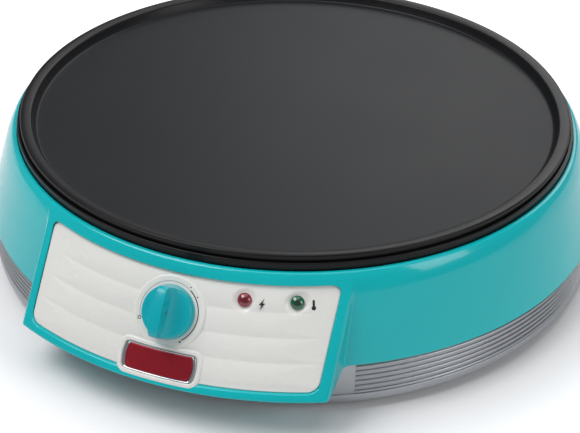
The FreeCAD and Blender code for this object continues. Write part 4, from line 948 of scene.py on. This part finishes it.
def rib_tree(material):
    """Rings of one rib's section, laid below each other and stopping short of the console."""
    tree = bpy.data.node_groups.new("band_ribs", "GeometryNodeTree")
    names = {"Radius": BAND_RADIUS * MM, "Top": 0.0, "Pitch": 0.003, "Section": 0.00085, "Sweep": 5.2, "Start": 0.0}
    for name, value in names.items():
        tree_input(tree, name, "NodeSocketFloat", value)
    tree_input(tree, "Count", "NodeSocketInt", 6)
    tree.interface.new_socket(name="Geometry", in_out="OUTPUT", socket_type="NodeSocketGeometry")
    nodes = tree.nodes
    links = tree.links
    given = nodes.new("NodeGroupInput").outputs
    ring = nodes.new("GeometryNodeCurveArc")
    ring.inputs["Resolution"].default_value = 300
    links.new(given["Radius"], ring.inputs["Radius"])
    links.new(given["Start"], ring.inputs["Start Angle"])
    links.new(given["Sweep"], ring.inputs["Sweep Angle"])
    section = nodes.new("GeometryNodeCurvePrimitiveCircle")
    section.inputs["Resolution"].default_value = 12
    links.new(given["Section"], section.inputs["Radius"])
    rib = nodes.new("GeometryNodeCurveToMesh")
    rib.inputs["Fill Caps"].default_value = True
    links.new(ring.outputs["Curve"], rib.inputs["Curve"])
    links.new(section.outputs["Curve"], rib.inputs["Profile Curve"])
    line = nodes.new("GeometryNodeMeshLine")
    links.new(given["Count"], line.inputs["Count"])
    start = nodes.new("ShaderNodeCombineXYZ")
    links.new(given["Top"], start.inputs["Z"])
    links.new(start.outputs[0], line.inputs["Start Location"])
    down = nodes.new("ShaderNodeMath")
    down.operation = "MULTIPLY"
    down.inputs[1].default_value = -1.0
    links.new(given["Pitch"], down.inputs[0])
    step = nodes.new("ShaderNodeCombineXYZ")
    links.new(down.outputs[0], step.inputs["Z"])
    links.new(step.outputs[0], line.inputs["Offset"])
    copies = nodes.new("GeometryNodeInstanceOnPoints")
    links.new(line.outputs["Mesh"], copies.inputs["Points"])
    links.new(rib.outputs["Mesh"], copies.inputs["Instance"])
    real = nodes.new("GeometryNodeRealizeInstances")
    links.new(copies.outputs["Instances"], real.inputs["Geometry"])
    dressed = nodes.new("GeometryNodeSetMaterial")
    dressed.inputs["Material"].default_value = material
    links.new(real.outputs["Geometry"], dressed.inputs["Geometry"])
    links.new(dressed.outputs["Geometry"], nodes.new("NodeGroupOutput").inputs["Geometry"])
    return tree


def from_tree(name, tree, values, material):
    """Makes a plain mesh piece from a node tree with the given inputs."""
    carrier = bpy.data.objects.new(name + "_carrier", bpy.data.meshes.new(name + "_carrier"))
    bpy.context.scene.collection.objects.link(carrier)
    modifier = carrier.modifiers.new("tree", "NODES")
    modifier.node_group = tree
    for item in tree.interface.items_tree:
        if item.in_out == "INPUT" and item.name in values:
            modifier[item.identifier] = values[item.name]
    seen = carrier.evaluated_get(bpy.context.evaluated_depsgraph_get())
    mesh = bpy.data.meshes.new_from_object(seen)
    mesh.name = name
    bpy.data.objects.remove(carrier)
    mesh.polygons.foreach_set("use_smooth", [True] * len(mesh.polygons))
    mesh.set_sharp_from_angle(angle=math.radians(40))
    piece(name, mesh, material, "cooker")


def band_ribs():
    gap = math.radians(62.0)
    values = {"Radius": (BAND_RADIUS + 0.05) * MM, "Top": 26.6 * MM, "Pitch": 3.0 * MM, "Section": 0.85 * MM,
              "Sweep": 2.0 * math.pi - gap, "Start": -math.pi / 2 + gap / 2, "Count": 6}
    from_tree("band_rib_rings", rib_tree(silver), values, silver)


# Rubber feet
def feet():
    bm = bmesh.new()
    profile = [(0.0, 0.35), (8.0, 0.35), (8.4, 0.0), (9.1, 0.0), (9.5, 0.25), (11.0, 7.2), (11.0, FOOT_HEIGHT),
               (0.0, FOOT_HEIGHT)]
    for number in range(4):
        angle = math.radians(45 + 90 * number)
        spot = Matrix.Translation(Vector((FOOT_CIRCLE * math.cos(angle), FOOT_CIRCLE * math.sin(angle), 0.0)) * MM)
        lathe(bm, profile, 48, spot)
    piece("foot_pads", to_mesh("foot_pads", bm, 30), foot_rubber, "cooker",
          ("rubber_feet",))


cooking_plate()
black_surround()
upper_housing()
control_panel()
badge()
dial()
pictograms()
thermostat_knob()
lamp_lenses()
base_band()
band_ribs()
feet()

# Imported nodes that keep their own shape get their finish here
node_finishes = {
    "bottom_cover": dark_plastic, "case_screws": steel, "heating_element": steel,
    "element_clamps": zinc, "clamp_screws": steel, "plate_tabs": zinc, "tab_screws": steel, "heat_reflector": zinc,
    "reflector_spacers": steel, "reflector_screws": steel, "knob_spring_clip": steel, "thermostat_shaft": steel,
    "thermostat_body": dark_plastic, "thermostat_bracket": zinc, "bracket_screws": steel,
    "indicator_neons": bright, "lamp_holders": dark_plastic, "cord_inlet_bush": dark_plastic, "cord_clamp": zinc,
    "terminal_block": cream, "thermal_fuse": steel, "fuse_clip": zinc,
}
for node_name, node_material in node_finishes.items():
    mesh = frame["nodes"][node_name].data
    mesh.materials.clear()
    mesh.materials.append(node_material)


# Floor, light and camera
def floor():
    """A pale floor that glows for the camera only away from the cooker; the dim ring left close round the cooker is
    painted shade that joins its cast shadow.
    """
    paint = Paint("studio_floor")
    paint.set(Base_Color=(0.86, 0.86, 0.87), Roughness=0.9, Specular_IOR_Level=0.0)
    rays = paint.node("ShaderNodeLightPath")
    seen = Channel(paint, rays.outputs["Is Camera Ray"])
    # painted shade: the camera glow fades out towards the cooker, leaving the floor dim round it
    away = paint.radius().step(0.185, 0.27)
    glow = paint.node("ShaderNodeEmission", None, {"Color": (1.0, 1.0, 1.0), "Strength": seen * (away * 0.5 + 0.03)})
    both = paint.node("ShaderNodeAddShader", None, [paint.shader.outputs[0], glow.outputs[0]])
    paint.tree.links.new(both.outputs[0], paint.tree.nodes["Material Output"].inputs["Surface"])
    mesh = bpy.data.meshes.new("studio_floor")
    reach = 6.0
    corners = [(-reach, -reach, 0), (reach, -reach, 0), (reach, reach, 0), (-reach, reach, 0)]
    mesh.from_pydata(corners, [], [(0, 1, 2, 3)])
    shown = bpy.data.objects.new("studio_floor", mesh)
    mesh.materials.append(paint.material)
    bpy.context.scene.collection.objects.link(shown)


def softbox(name, place, target, width, height, power):
    light = bpy.data.lights.new(name, "AREA")
    light.shape = "RECTANGLE"
    light.size = width
    light.size_y = height
    light.energy = power
    shown = bpy.data.objects.new(name, light)
    shown.location = place
    shown.rotation_euler = (Vector(target) - Vector(place)).to_track_quat("-Z", "Y").to_euler()
    bpy.context.scene.collection.objects.link(shown)


def world():
    sky = bpy.data.worlds.new("studio")
    bpy.context.scene.world = sky
    sky.use_nodes = True
    nodes = sky.node_tree.nodes
    links = sky.node_tree.links
    rays = nodes.new("ShaderNodeLightPath")
    room = nodes["Background"]
    room.inputs["Color"].default_value = (0.80, 0.82, 0.85, 1.0)
    room.inputs["Strength"].default_value = 0.32
    white = nodes.new("ShaderNodeBackground")
    white.inputs["Color"].default_value = (1.0, 1.0, 1.0, 1.0)
    mixed = nodes.new("ShaderNodeMixShader")
    links.new(rays.outputs["Is Camera Ray"], mixed.inputs["Fac"])
    links.new(room.outputs[0], mixed.inputs[1])
    links.new(white.outputs[0], mixed.inputs[2])
    links.new(mixed.outputs[0], nodes["World Output"].inputs["Surface"])


def camera():
    lens = bpy.data.cameras.new("view")
    lens.sensor_width = 36.0
    lens.lens = 93.10
    lens.shift_x = 0.0703
    lens.clip_start = 0.05
    shown = bpy.data.objects.new("view", lens)
    shown.location = (0.2476, -0.6803, 0.4775)
    shown.rotation_euler = (math.radians(90.0 - 33.19), 0.0, math.radians(21.95))
    bpy.context.scene.collection.objects.link(shown)
    bpy.context.scene.camera = shown


floor()
softbox("key_softbox", (-0.7, -0.5, 1.5), (0.0, 0.0, 0.05), 1.2, 0.8, 17.0)
softbox("back_softbox", (0.2, 1.5, 1.1), (0.0, 0.0, 0.05), 1.8, 0.7, 11.0)
softbox("side_softbox", (1.5, -0.4, 0.8), (0.1, 0.0, 0.05), 0.6, 0.9, 6.0)
softbox("top_softbox", (0.0, 0.1, 1.8), (0.0, 0.0, 0.0), 1.4, 1.4, 8.0)
world()
camera()
bpy.context.scene.view_settings.view_transform = "Standard"
